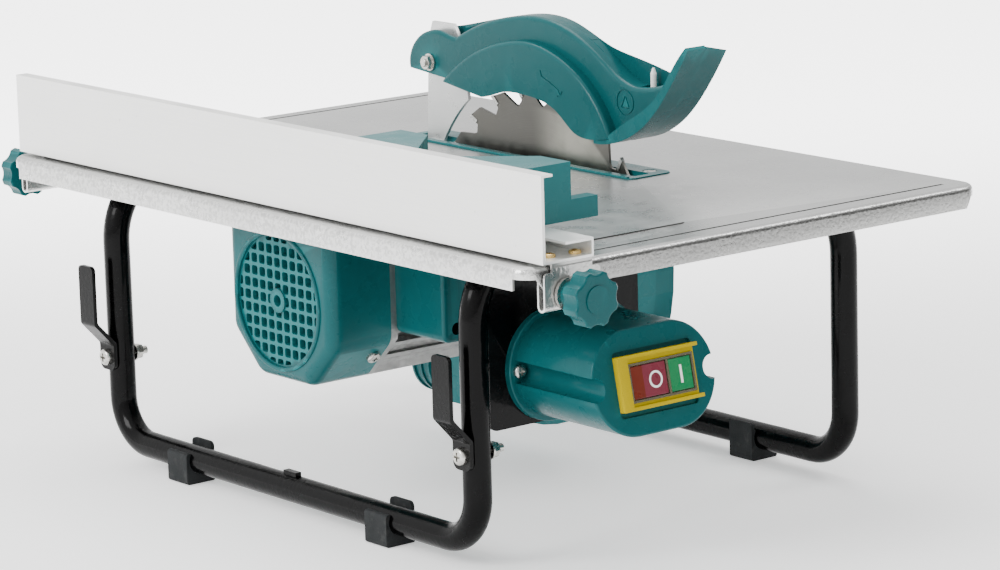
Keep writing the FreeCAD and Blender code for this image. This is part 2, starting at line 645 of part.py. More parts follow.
def rotor_shaft():
    thin = rod("x", -136.0, AXIS_Y, AXIS_Z, SHAFT_R, 138.0)
    thick = rod("x", 2.0, AXIS_Y, AXIS_Z, ARBOR_R, GUARD_X1 - 3.4 - 2.0)
    collar = rod("x", BX - 12.0, AXIS_Y, AXIS_Z, 9.5, 3.0)
    return fuse([thin, thick, collar])


def rotor_core():
    core = ring("x", -85.0, AXIS_Y, AXIS_Z, 23.5, SHAFT_R, 80.0)
    fins = []
    for k in range(8):
        fin = box(-92.0, -85.0, AXIS_Y - 1, AXIS_Y + 1, AXIS_Z + 14, AXIS_Z + 21)
        fins.append(turn(fin, (0, AXIS_Y, AXIS_Z), (1, 0, 0), 45 * k))
        end = fin.copy()
        end.translate(V(87.0, 0, 0))
        fins.append(turn(end, (0, AXIS_Y, AXIS_Z), (1, 0, 0), 45 * k))
    return fuse([core] + fins)


def cooling_fan():
    hub = ring("x", -132.0, AXIS_Y, AXIS_Z, 11.0, SHAFT_R, 18.0)
    disc = ring("x", -117.0, AXIS_Y, AXIS_Z, 36.0, 10.0, 2.0)
    vane = box(-131.0, -116.5, AXIS_Y - 0.9, AXIS_Y + 0.9, AXIS_Z + 10, AXIS_Z + 36)
    vane = vane.common(rod("x", -140, AXIS_Y, AXIS_Z, 36.0, 40))
    vanes = [turn(vane, (0, AXIS_Y, AXIS_Z), (1, 0, 0), 36 * k) for k in range(10)]
    return fuse([hub, disc] + vanes)


HANGER_X0, HANGER_X1 = -88.0, 24.0
HANGER_SCREWS = [(x, y) for x in (-80.0, 16.0) for y in (-56.0, 66.0)]


def motor_hanger():
    z1 = TABLE_TOP - SHEET
    saddle_top = MOTOR_Z1 - 2.0
    plate = box(HANGER_X0, HANGER_X1, -62.0, 72.0, z1 - 3.0, z1)
    plate = soften(plate, 5.0, lambda e: along(e, "z"))
    webs = [box(x, x + 9.0, -26.0, 36.0, saddle_top, z1 - 3.0) for x in (-80.0, -36.0, 0.0)]
    holes = [rod("z", x, y, z1 - 4, 2.7, 5) for x, y in HANGER_SCREWS]
    return cut(fuse([plate] + webs), holes)


def hanger_screws():
    z = TABLE_TOP - SHEET - 3.0
    return Part.makeCompound([screw((x, y, z), (0, 0, -1), 4.6, 2.8, 2.5, 3.0)
                              for x, y in HANGER_SCREWS])


CAP_X0, CAP_X1 = -98.0, -30.0
CAP_Y0, CAP_Y1 = -90.0, MOTOR_Y0 + 0.8
CAP_Z0, CAP_Z1 = TABLE_TOP - 76.5, TABLE_TOP - 14.0


def capacitor_screw_places():
    return [(CAP_X0 + 7, CAP_Z1 - 7), (CAP_X1 - 7, CAP_Z1 - 7), (CAP_X1 - 7, CAP_Z0 + 7)]


def capacitor_box():
    box_out = box(CAP_X0, CAP_X1, CAP_Y0, CAP_Y1, CAP_Z0, CAP_Z1)
    box_out = soften(box_out, 5.0, lambda e: along(e, "y"))
    box_out = soften(box_out, 2.5, lambda e: e.BoundBox.YMax < CAP_Y0 + 0.01)
    t = 2.4
    inner = box(CAP_X0 + t, CAP_X1 - t, CAP_Y0 + t, CAP_Y1 + 1, CAP_Z0 + t, CAP_Z1 - t)
    inner = cut(inner, [rod("y", x, CAP_Y0, z, 5.4, 60) for x, z in capacitor_screw_places()])
    inlet = rod("y", CAP_X0 + 9.0, CAP_Y0 - 1, CAP_Z0 + 8.0, 3.6, 6)
    drills = []
    for x, z in capacitor_screw_places():
        drills.append(rod("y", x, CAP_Y0 - 1, z, 3.9, 4.0))
        drills.append(rod("y", x, CAP_Y0, z, 1.8, 60))
    return cut(box_out, [inner, inlet] + drills)


def capacitor_box_screws():
    return Part.makeCompound([screw((x, CAP_Y0 + 3.0, z), (0, -1, 0), 3.6, 2.2, 1.75, 38.0)
                              for x, z in capacitor_screw_places()])


# ---------------------------------------------------------------- blade
PLATE_HALF = 0.85          # half thickness of the blade plate
FLANGE_R = 20.0


def polar(r, degrees):
    a = math.radians(degrees)
    return (AXIS_Y + r * math.cos(a), AXIS_Z + r * math.sin(a))


def tooth_angles():
    return [48.5 + 360.0 / TEETH * k for k in range(TEETH)]


def blade_tip(angle):
    """Carbide tip seated in the face of one tooth."""
    outline = [polar(BLADE_R, angle), polar(BLADE_R - 0.3, angle + 1.5),
               polar(BLADE_R - 6.5, angle + 3.0), polar(BLADE_R - 7.0, angle + 1.6)]
    return prism_x(outline, BX - 1.25, BX + 1.25)


def blade_tips():
    return Part.makeCompound([blade_tip(a) for a in tooth_angles()])


def saw_blade():
    outline = []
    for a in tooth_angles():
        outline += [polar(BLADE_R - 0.1, a), polar(BLADE_R - 1.3, a + 7), polar(BLADE_R - 10.8, a + 13),
                    polar(BLADE_R - 11.7, a + 14.5), polar(BLADE_R - 8.5, a + 16.9)]
    plate = prism_x(outline, BX - PLATE_HALF, BX + PLATE_HALF)
    bore = rod("x", BX - 5, AXIS_Y, AXIS_Z, ARBOR_R, 10)
    return cut(plate, [bore] + [blade_tip(a) for a in tooth_angles()])


def blade_flanges():
    inner = ring("x", BX - PLATE_HALF - 6.0, AXIS_Y, AXIS_Z, FLANGE_R, ARBOR_R, 6.0)
    outer = ring("x", BX + PLATE_HALF, AXIS_Y, AXIS_Z, FLANGE_R, ARBOR_R, 4.0)
    relief = [ring("x", BX - PLATE_HALF - 0.8, AXIS_Y, AXIS_Z, 15.0, ARBOR_R, 1.0),
              ring("x", BX + PLATE_HALF - 0.2, AXIS_Y, AXIS_Z, 15.0, ARBOR_R, 1.0)]
    return Part.makeCompound([inner.cut(relief[0]), outer.cut(relief[1])])


def arbor_nut():
    x = BX + PLATE_HALF + 4.0
    nut = prism_x([(AXIS_Y + a, AXIS_Z + b) for a, b in hexagon(24.0)], x, x + 5.2)
    return nut.cut(rod("x", x - 1, AXIS_Y, AXIS_Z, ARBOR_R, 8))


# ---------------------------------------------------------------- lower blade guard
LOWER_R = 102.0
LOWER_WALL = 1.6
LOWER_Z0 = TABLE_TOP - 161.6
LOWER_Z1 = TABLE_TOP - 4.0
LOWER_REAR = 92.0
SPIGOT_X, SPIGOT_Z, SPIGOT_R = 52.0, TABLE_TOP - 138.6, 22.0
LUG_ANGLES = (202.0, 224.0, 337.0)      # joining lugs around the lower guard
LUG_R = LOWER_R + LOWER_WALL + 4.6


def lower_section(margin):
    """Side outline of the lower guard: round front, square rear corner."""
    r = LOWER_R + LOWER_WALL - margin
    z0, y1 = LOWER_Z0 + margin, LOWER_REAR - margin
    top = LOWER_Z1 + (0 if margin == 0 else 2)
    rise = top - AXIS_Z
    a = math.degrees(math.asin(rise / r))
    front = [polar(r, 180 - a + (a + 90) * k / 16) for k in range(17)]
    b = math.degrees(math.acos((y1 - AXIS_Y) / r))
    rear = [polar(r, -b + (a + b) * k / 12) for k in range(13)]
    return front[:-1] + [(AXIS_Y, z0), (y1, z0)] + rear


def lower_guard(side):
    inner_x = BX
    outer_x = GUARD_X0 if side < 0 else GUARD_X1
    a, b = min(inner_x, outer_x), max(inner_x, outer_x)
    wall = 2.0
    shell = prism_x(lower_section(0.0), a, b)
    inner = (a + wall, b + 1) if side < 0 else (a - 1, b - wall)
    hollow = prism_x(lower_section(LOWER_WALL), *inner)
    lugs = [rod("x", BX - 6.0, *polar(LUG_R, angle), 5.4, 12.0) for angle in LUG_ANGLES]
    half = box(a, b, -300, 300, 0, 400)
    lugs = [g.common(half).cut(prism_x(lower_section(0.8), a - 1, b + 1)) for g in lugs]
    body = fuse([shell] + lugs)
    tools = [hollow]
    tools += [rod("x", BX - 10, *polar(LUG_R, angle), 2.0, 20.0) for angle in LUG_ANGLES]
    mouth = box(GUARD_X0 + 3.5, GUARD_X1 - 3.5, LOWER_REAR - 3, LOWER_REAR + 3, SPIGOT_Z - 18, SPIGOT_Z + 18)
    tools.append(mouth)
    if side < 0:
        tools.append(rod("x", GUARD_X0 - 1, AXIS_Y, AXIS_Z, 12.0, 6))
    return cut(body, tools)


def lower_guard_screws():
    return Part.makeCompound([screw((BX - 6.0, *polar(LUG_R, angle)), (-1, 0, 0), 3.8, 2.6, 1.95, 11.5)
                              for angle in LUG_ANGLES])


def dust_spigot():
    y0 = LOWER_REAR
    tube = rod("y", SPIGOT_X, y0, SPIGOT_Z, SPIGOT_R - 1.0, 17.0)
    rings = [rod("y", SPIGOT_X, y0 + d, SPIGOT_Z, SPIGOT_R, 2.0) for d in (0.0, 7.5, 15.0)]
    bore = rod("y", SPIGOT_X, y0 + 2.0, SPIGOT_Z, SPIGOT_R - 3.2, 20)
    mouth = box(GUARD_X0 + 3.5, GUARD_X1 - 3.5, y0 - 1, y0 + 3, SPIGOT_Z - 14, SPIGOT_Z + 14)
    return cut(fuse([tube] + rings), [bore, mouth])


# ---------------------------------------------------------------- riving knife
KNIFE_HALF = 1.1
KNIFE_BOLTS = [(119.0, TABLE_TOP - 22.0), (119.0, TABLE_TOP - 42.0)]


def riving_knife():
    """Plate whose front edge follows the blade, with a tail bolted below the table."""
    arc = [(y, z - TABLE_TOP) for y, z in (polar(BLADE_R + 8.0, a) for a in range(4, 53, 8))]
    outline = [arc, [(76.5, 60), (84, 72.2)], [(105, 72.2), (109, 62)], [(111, 35), (113, 0)],
               [(113, -5), (127, -14)], [(127, -50)]]
    plate = outline_x(outline, BX - KNIFE_HALF, BX + KNIFE_HALF)
    holes = [rod("x", BX - 5, y, z, 2.6, 10) for y, z in KNIFE_BOLTS]
    holes.append(rod("x", BX - 5, PIVOT_Y, PIVOT_Z, PIVOT_R + 0.05, 10))
    return cut(plate, holes)


BRACKET_SCREW = (BX - 18.0, 133.0)


def knife_bracket():
    z1 = TABLE_TOP - SHEET
    x1 = BX - KNIFE_HALF
    leaf = prism_x([(114.5, z1 - 48.5), (127, z1 - 48.5), (143, z1 - 12), (143, z1), (122, z1),
                    (122, z1 - 8), (114.5, z1 - 14)], x1 - 3.0, x1)
    foot = box(x1 - 28.0, x1, 122.0, 143.0, z1 - 3.0, z1)
    holes = [rod("x", x1 - 4, y, z, 2.6, 6) for y, z in KNIFE_BOLTS]
    holes.append(rod("z", BRACKET_SCREW[0], BRACKET_SCREW[1], z1 - 4, 2.6, 6))
    return cut(fuse([leaf, foot]), holes)


def knife_screws():
    out = []
    for y, z in KNIFE_BOLTS:
        bolt = screw((BX + KNIFE_HALF, y, z), (1, 0, 0), 4.6, 3.0, 2.5, 2 * KNIFE_HALF + 3.0 + 6.0)
        nut = prism_x([(y + a, z + b) for a, b in hexagon(8.0)], BX - KNIFE_HALF - 7.0, BX - KNIFE_HALF - 3.0)
        out += [bolt, nut.cut(rod("x", BX - 20, y, z, 2.5, 20))]
    x, y = BRACKET_SCREW
    out.append(screw((x, y, TABLE_TOP - SHEET - 3.0), (0, 0, -1), 4.6, 2.8, 2.5, 3.0))
    return Part.makeCompound(out)


# ---------------------------------------------------------------- upper blade guard
# Guard points are (y, height above the table).
HOOD_HALF = 7.5            # half width of the narrow hood
CHEEK_HALF = 14.5          # half width across the raised cheeks
TONGUE_X0, TONGUE_X1 = BX - 14.5, BX + 17.0
HOOD_WALL = 1.8
ROOF_END = -92.0           # in front of this the roof is open down to the tongue
LEDGE = 4.5                # width of the near ledge beside that opening
TONGUE_T = 2.4
ENGRAVE = 0.4              # depth of the marks cut into the near side
PIVOT_R = 2.5
GUARD_SCREWS = [(50.0, 70.0), (-30.0, 74.5)]

TONGUE = [(-62, 17.5), (-76, 18.8), (-92, 24), (-107, 33), (-118, 43), (-129, 56), (-137.5, 67.5),
          (-146, 80.5)]
TONGUE_WEB = [(-143.5, 81.3), (-133, 69.5), (-120, 53), (-109, 43.5), (-98, 37), (-87, 31), (-75, 23.5)]
NEAR_EAR = [(122, 42.8), (122.3, 48), (120, 54.6), (115.7, 60), (110, 64.2), (102, 67.2), (95, 68.4),
            (88, 68), (81, 66.4), (75, 65.8)]
FAR_EAR = [(122, 42.8), (122.3, 48), (120, 54.6), (115.7, 60), (109, 64.6), (100, 67.8), (84, 70.8)]
CREST = [(16, 84.2), (-5, 85.5), (-25, 82.4)]
VALLEY = [(-45, 75), (-62, 65.2), (-76, 57), (-87, 53.5), (-98, 53.2), (-109, 55), (-119, 58)]
NEAR_TOP = [(75, 65.8), (60, 72.8), (40, 79.4)] + CREST + VALLEY
FAR_ROOF = [(74, 72.6), (56, 76.4), (40, 79.8)] + CREST + VALLEY
FAR_TOP = [(84, 70.8), (71, 73.2), (56, 76.4), (40, 79.8)] + CREST + [
    (-43, 76), (-57, 71.2), (-71, 68.4), (-88, 65.5), (-105, 62), (-119, 58.5)]
LOWER_EDGE = [(-62, 19.6), (-52, 19.5), (-45, 21.2), (-36, 27), (-27, 33.3), (-13, 37.8), (5, 39.5),
              (23, 38.4), (34, 35.2), (42, 33.4)]
EAR_FOOT = (81, 39.2)
CHEEK_TOP = [EAR_FOOT, (64, 52), (44, 62), (20, 69), (-1, 71), (-20, 67.8), (-42, 58.8), (-55, 50),
             (-64, 41), (-74.8, 24.5)]
ARROW = [(-14.6, 55.6), (-15.6, 52.3), (-22.4, 49.8), (-30.2, 46.2), (-32.8, 42.2)]
ARROW_BARB = [(-29.6, 41.8), (-32.8, 42.2), (-34.4, 45.2)]
WARNING_AT = (-83.1, 43.2)


def lift(points):
    """Heights given above the table become heights above the floor."""
    return [(y, TABLE_TOP + z) for y, z in points]


def outline_x(runs, x0, x1):
    """Solid from x0 to x1. A run of 3 or more points is a smooth curve; lines join the runs."""
    runs = [[V(x0, y, z) for y, z in lift(run)] for run in runs]
    edges = []
    for run, following in zip(runs, runs[1:] + runs[:1]):
        if len(run) > 2:
            curve = Part.BSplineCurve()
            curve.interpolate(run)
            edges.append(curve.toShape())
        elif len(run) == 2:
            edges.append(Part.makeLine(run[0], run[1]))
        if run[-1].sub(following[0]).Length > 1e-4:
            edges.append(Part.makeLine(run[-1], following[0]))
    return Part.Face(Part.Wire(edges)).extrude(V(x1 - x0, 0, 0))


def mirrored(side, shape):
    """Shells are drawn on the left of the blade plane and mirrored for the right."""
    return shape if side < 0 else shape.mirror(V(BX, 0, 0), V(1, 0, 0))


def engraved_line(points, x, width=0.8):
    """Tools that cut a thin line into the wall whose outer face is at x."""
    bars = []
    for (ya, za), (yb, zb) in zip(points, points[1:]):
        half = width / 2 / math.hypot(yb - ya, zb - za)
        dy, dz = (yb - ya) * half, (zb - za) * half
        corners = [(ya - dz, za + dy), (yb - dz, zb + dy), (yb + dz, zb - dy), (ya + dz, za - dy)]
        bars.append(prism_x(lift(corners), x - 1.0, x + ENGRAVE))
    return bars


def guard_marks():
    """Tools for the rotation arrow on the near cheek and a plain round mark ahead of it."""
    cheek, wall = BX - CHEEK_HALF, BX - HOOD_HALF
    y, z = WARNING_AT
    triangle = [(y + 3.4, z - 3.0), (y, z + 3.8), (y - 3.4, z - 3.0), (y + 3.4, z - 3.0)]
    circle = ring("x", wall - 1.0, y, TABLE_TOP + z, 7.7, 6.9, 1.0 + ENGRAVE)
    return (engraved_line(ARROW, cheek) + engraved_line(ARROW_BARB, cheek)
            + engraved_line(triangle, wall) + [circle])


def hood_half(side):
    """Side wall and half of the roof, as a solid and the tools that hollow it."""
    w, x = HOOD_WALL, BX - HOOD_HALF
    near = side < 0
    ear, top, roof = (NEAR_EAR, NEAR_TOP, NEAR_TOP) if near else (FAR_EAR, FAR_TOP, FAR_ROOF)
    foot = inset(TONGUE, -TONGUE_T / 2)[:6]
    solid = outline_x([ear, top, foot[::-1], LOWER_EDGE, [EAR_FOOT]], x, BX)
    solid = soften(solid, 2.6 if near else 1.2, lambda e: e.BoundBox.XMax < x + 0.01
                   and e.BoundBox.ZMin > TABLE_TOP + 40 and e.BoundBox.YLength > 30)
    ceiling = [p for p in inset(roof, w) if p[0] > -112]
    floor = inset(TONGUE, -0.75 * TONGUE_T)[:5]
    rear = ceiling[0][0]
    hollow = outline_x([[(140, 0), (140, 100)], [(rear, 100)], ceiling, floor[::-1], [(-57, 0)]],
                       x + w, BX + 1)
    ledge = x + LEDGE if near else x + w
    mouth = box(ledge, BX + 1, -117.0, ROOF_END, TABLE_TOP + 47.5, TABLE_TOP + 100)
    tools = [hollow, mouth]
    if not near:        # the far wall stands higher than the roof in front of the crest
        tools.append(outline_x([VALLEY, [(-119, 100), (-45, 100)]], x + w, BX + 1))
    return solid, tools


def cheek_half():
    """Raised side panel, as a solid and the tool that hollows it."""
    w, x0, x1 = HOOD_WALL, BX - CHEEK_HALF, BX - HOOD_HALF
    solid = outline_x([CHEEK_TOP, [(-74.8, 21.2)], LOWER_EDGE], x0, x1)
    solid = soften(solid, 2.4, lambda e: e.BoundBox.XMax < x0 + 0.01 and e.BoundBox.YLength > 130)
    ceiling = inset(CHEEK_TOP, w)[1:-1]
    hollow = outline_x([ceiling, [(ceiling[-1][0], 0), (ceiling[0][0], 0)]], x0 + w, x1 + w + 0.5)
    return solid, [hollow]


def tongue_half(side):
    """Front lifting handle: a curved strip with a web along its outer side."""
    x0, x1 = (TONGUE_X0, BX) if side < 0 else (BX, TONGUE_X1)
    edge = TONGUE_X0 if side < 0 else TONGUE_X1
    strip = outline_x([TONGUE, inset(TONGUE, -TONGUE_T)[::-1]], x0, x1)
    web_x = edge if side < 0 else edge - 1.6
    web = outline_x([inset(TONGUE, -1.0)[1:], TONGUE_WEB], web_x, web_x + 1.6)
    body = soften(fuse([strip, web]), 1.2, lambda e: abs(e.BoundBox.Center.x - edge) < 0.01
                  and e.BoundBox.ZMin < TABLE_TOP + 17.6 and e.BoundBox.YLength > 60)
    tip = TABLE_TOP + 81.2
    beyond = TONGUE_X1 + 1
    slope = prism_y([(BX, tip), (beyond, tip - 4.2), (beyond, tip + 9), (BX, tip + 9)], -160, -130)
    notch = prism_y([(BX - 0.7, tip), (BX, tip - 1.6), (BX + 0.7, tip)], -160, -130)
    return cut(body, [slope, notch])


def guard_shell(side):
    x, w = BX - HOOD_HALF, HOOD_WALL
    hood, hood_tools = hood_half(side)
    cheek, cheek_tools = cheek_half()
    shell = cut(fuse([hood, cheek]), hood_tools + cheek_tools)
    # boss that keeps the shell clear of the riving knife at the hinge, and the screw posts
    inside = [rod("x", x + w - 0.1, PIVOT_Y, PIVOT_Z, 6.0, HOOD_HALF - w + 0.1 - KNIFE_HALF - GAP)]
    for y, z in GUARD_SCREWS:
        inside.append(rod("x", x + w - 0.1, y, TABLE_TOP + z, 3.2, HOOD_HALF - w + 0.1))
    whole = fuse([mirrored(side, fuse([shell] + inside)), tongue_half(side)])
    # the blade passes the foot of the tongue; the screws enter from the far side
    tools = [box(BX - 4.0, BX + 4.0, -84.0, -50.0, TABLE_TOP, TABLE_TOP + 26.0),
             rod("x", BX - 40, PIVOT_Y, PIVOT_Z, PIVOT_R + 0.05, 80)]
    for y, z in GUARD_SCREWS:
        tools.append(rod("x", x + w, y, TABLE_TOP + z, 1.6, 30))
    if side < 0:
        tools += guard_marks()
    return cut(whole, tools)


def guard_screws():
    length = 2 * HOOD_HALF - HOOD_WALL - 0.6
    return Part.makeCompound([screw((BX + HOOD_HALF, y, TABLE_TOP + z), (1, 0, 0), 2.6, 1.8, 1.55, length)
                              for y, z in GUARD_SCREWS])


def guard_pin():
    """Pointed peg in the open front of the guard, on a cross pin that ties the two side walls."""
    y, z = -98.0, TABLE_TOP + 45.5
    cross = rod("x", BX - HOOD_HALF + HOOD_WALL, y, z, 2.4, 2 * (HOOD_HALF - HOOD_WALL))
    peg = rod("z", BX + 1.5, y, z, 1.8, 15.0)
    point = Part.makeCone(1.8, 0.7, 3.4, V(BX + 1.5, y, z + 15.0), V(0, 0, 1))
    return fuse([cross, peg, point])


def guard_pivot_bolt():
    """Bolt, two washers and a nut; the nut is on the near side."""
    x0, x1 = BX - HOOD_HALF - GAP, BX + HOOD_HALF + GAP
    washer, nut, end = 1.0, 3.4, 1.3
    start = x0 - washer - nut - end
    shank = rod("x", start, PIVOT_Y, PIVOT_Z, PIVOT_R, x1 - start + washer)
    shank = soften(shank, 0.5, lambda e: e.BoundBox.XMax < start + 0.1)
    head = prism_x([(PIVOT_Y + a, PIVOT_Z + b) for a, b in hexagon(8.0)], x1 + washer, x1 + washer + 3.6)
    nut_x = x0 - washer - nut
    hex_nut = prism_x([(PIVOT_Y + a, PIVOT_Z + b) for a, b in hexagon(8.0)], nut_x, x0 - washer)
    # the cone turns the corners of the nut off, as on a bought nut
    hex_nut = hex_nut.common(Part.makeCone(3.9, 3.9 + nut, nut, V(nut_x, PIVOT_Y, PIVOT_Z), V(1, 0, 0)))
    washers = [rod("x", x, PIVOT_Y, PIVOT_Z, 5.3, washer) for x in (x0 - washer, x1)]
    return fuse([shank, head, hex_nut] + washers)


# ---------------------------------------------------------------- rip fence
PLATE_T = 1.8
CHANNEL_X1 = -143.6        # the channel's lip starts here
LIP_X = -124.5
RAIL_H = 47.3
RAIL_T = 1.4
LIP_Z = TABLE_TOP + 11.85
LEAF_X0, LEAF_X1 = -157.1, -119.0      # clamp bracket below its shoulders
NECK_X0, SHOULDER_Z = -152.0, TABLE_TOP - 3.5
KNOB_R, FLUTE_R, FLUTE_DEPTH = 15.2, 8.0, 1.8


def fence_rail():
    """Tall plate with a top flange, standing on a wide channel whose roof covers the right side."""
    z0, t = RAIL_Z, RAIL_T
    y0, y1 = RAIL_FRONT, RAIL_REAR
    plate = box(RAIL_X, RAIL_X + PLATE_T, y0, y1, z0, z0 + RAIL_H)
    flange = box(RAIL_X, RAIL_X + 7.8, y0, y1, z0 + RAIL_H - 1.3, z0 + RAIL_H)
    floor = box(RAIL_X, LIP_X, y0, y1, z0, z0 + t)
    wall = box(LIP_X - t, LIP_X, y0, y1, z0, LIP_Z)
    lip = box(CHANNEL_X1, LIP_X, y0, y1, LIP_Z - t, LIP_Z)
    body = fuse([plate, flange, floor, wall, lip])
    return cut(body, [rod("z", x, y, z0 - 1, 2.05, t + 3) for x, y, z in rail_screw_places()])


def rail_screw_places():
    """Brass screws that hold the clamp brackets: x, y and the height of the head."""
    out = []
    for way, end in ((1, RAIL_FRONT), (-1, RAIL_REAR)):
        out.append((-146.8, end + way * 9.9, RAIL_Z + RAIL_T))
        out.append((-130.7, end + way * 8.1, RAIL_Z + RAIL_T))
    return out


def bracket_screws():
    tab = TABLE_TOP + 0.3
    return Part.makeCompound([screw((x, y, z), (0, 0, 1), 3.4, 2.0, 2.0, z - tab - 0.2)
                              for x, y, z in rail_screw_places()])


def clamp_bracket(way):
    """Bent strip that hooks around the table skirt below a narrower neck; way -1 is the front one."""
    edge = TABLE_L / 2
    t = 1.2
    z_top, z_low = TABLE_TOP + 0.3, TABLE_TOP - 24.6
    y_out0, y_out1 = edge + 0.8, edge + 0.8 + t
    y_in1, y_in0 = edge - 3.0, edge - 3.0 - t
    leaf = box(LEAF_X0, LEAF_X1, y_out0, y_out1, z_low + 3, SHOULDER_Z)
    leaf = soften(leaf, 2.5, lambda e: along(e, "y") and e.Vertexes[0].Z > SHOULDER_Z - 0.1)
    neck = box(NECK_X0, LIP_X, y_out0, y_out1, SHOULDER_Z - 1, RAIL_Z)
    tab = box(NECK_X0, LIP_X, edge - 17.0, y_out1, z_top, RAIL_Z)
    bend_r = (y_out1 - y_in0) / 2
    middle = (y_out1 + y_in0) / 2
    bend = ring("x", LEAF_X0, middle, z_low + bend_r, bend_r, bend_r - t, LEAF_X1 - LEAF_X0)
    bend = bend.common(box(-200, 0, 0, 400, z_low - 1, z_low + bend_r))
    rear = box(LEAF_X0, LEAF_X1, y_in0, y_in1, z_low + bend_r, TABLE_TOP - 7.5)
    leaf = leaf.cut(box(-200, 0, 0, 400, 0, z_low + bend_r))
    body = fuse([tab, neck, leaf, bend, rear])
    drills = [rod("y", KNOB_X, edge - 12, KNOB_Z, 2.05, 20)]
    for x, y, z in rail_screw_places():
        if (y < 0) == (way < 0):
            drills.append(rod("z", x, abs(y), z_top - 1, 2.0, 5))
    body = cut(body, drills)
    return body if way > 0 else body.mirror(V(0, 0, 0), V(0, 1, 0))


def clamp_knob(way):
    """Knob with eight shallow flutes; drawn at the rear and mirrored to the front."""
    y0 = TABLE_L / 2 + 3.4
    y_back, y_face = y0 + 12.3, y0 + 23.3
    head = rod("y", KNOB_X, y_back, KNOB_Z, KNOB_R, y_face - y_back)
    apart = KNOB_R + FLUTE_R - FLUTE_DEPTH
    flutes = [rod("y", KNOB_X + apart * math.cos(k * math.pi / 4), y_back - 1,
                  KNOB_Z + apart * math.sin(k * math.pi / 4), FLUTE_R, 13.0) for k in range(8)]
    head = cut(head, flutes)
    head = soften(head, 1.2, lambda e: e.BoundBox.YMin > y_face - 0.1)
    boss = rod("y", KNOB_X, y0 + 1.2, KNOB_Z, 7.0, 11.5)
    raised = rod("y", KNOB_X, y_face, KNOB_Z, 7.6, 0.7)
    body = fuse([head, boss, raised]).cut(rod("y", KNOB_X, y0, KNOB_Z, 2.0, 18.0))
    return body if way > 0 else body.mirror(V(0, 0, 0), V(0, 1, 0))


def clamp_screw(way):
    y0 = TABLE_L / 2 + 3.4
    shank = rod("y", KNOB_X, TABLE_L / 2 - 8.0, KNOB_Z, 2.0, y0 + 18.0 - TABLE_L / 2 + 8.0)
    washer = ring("y", KNOB_X, y0 - 0.8, KNOB_Z, 9.0, 2.0, 2.0)
    body = fuse([shank, washer])
    return body if way > 0 else body.mirror(V(0, 0, 0), V(0, 1, 0))


# ---------------------------------------------------------------- cross-cut slider
SLIDER_Z0, SLIDER_Z1 = TABLE_TOP + 12.2, TABLE_TOP + 44.2
SLIDER_FRONT, SLIDER_REAR = -212.0, -64.0
SLIDER_X0, SLIDER_X1 = RAIL_X + PLATE_T + 0.4, -104.5


def crosscut_slider():
    """Casting with two 45-degree faces that meet in a notch, and a lower front foot."""
    z0, z1 = SLIDER_Z0, SLIDER_Z1
    near = prism_z([(SLIDER_X0, SLIDER_FRONT), (SLIDER_X1, SLIDER_FRONT), (SLIDER_X1, -187.0),
                    (-147.0, -142.5), (SLIDER_X0, -142.5)], z0, z1)
    far = prism_z([(SLIDER_X0, -131.0), (-147.0, -131.0), (SLIDER_X1, -88.5), (SLIDER_X1, SLIDER_REAR),
                   (SLIDER_X0, SLIDER_REAR)], z0, z1)
    bar = box(SLIDER_X0, -147.0, SLIDER_FRONT + 5, SLIDER_REAR - 5, z0, z0 + 11.5)
    foot = box(SLIDER_X1, -86.0, SLIDER_FRONT, SLIDER_FRONT + 9.0, z0, z0 + 11.5)
    pockets = [box(-140.0, -111.0, SLIDER_FRONT + 4, SLIDER_FRONT + 22, z0 - 1, z1 - 3),
               box(-140.0, -111.0, -84.0, SLIDER_REAR - 4, z0 - 1, z1 - 3)]
    lengths = ((SLIDER_FRONT + 6, -150.0), (-124.0, SLIDER_REAR - 6))
    roof = LIP_Z - RAIL_T
    runner = [box(SLIDER_X0, CHANNEL_X1 - 0.4, a, b, RAIL_Z + 5.0, z0) for a, b in lengths]
    heads = [box(SLIDER_X0, LIP_X - 3.0, a, b, RAIL_Z + 5.0, roof - 0.4) for a, b in lengths]
    body = fuse([near, far, bar, foot] + runner + heads)
    return cut(body, pockets)


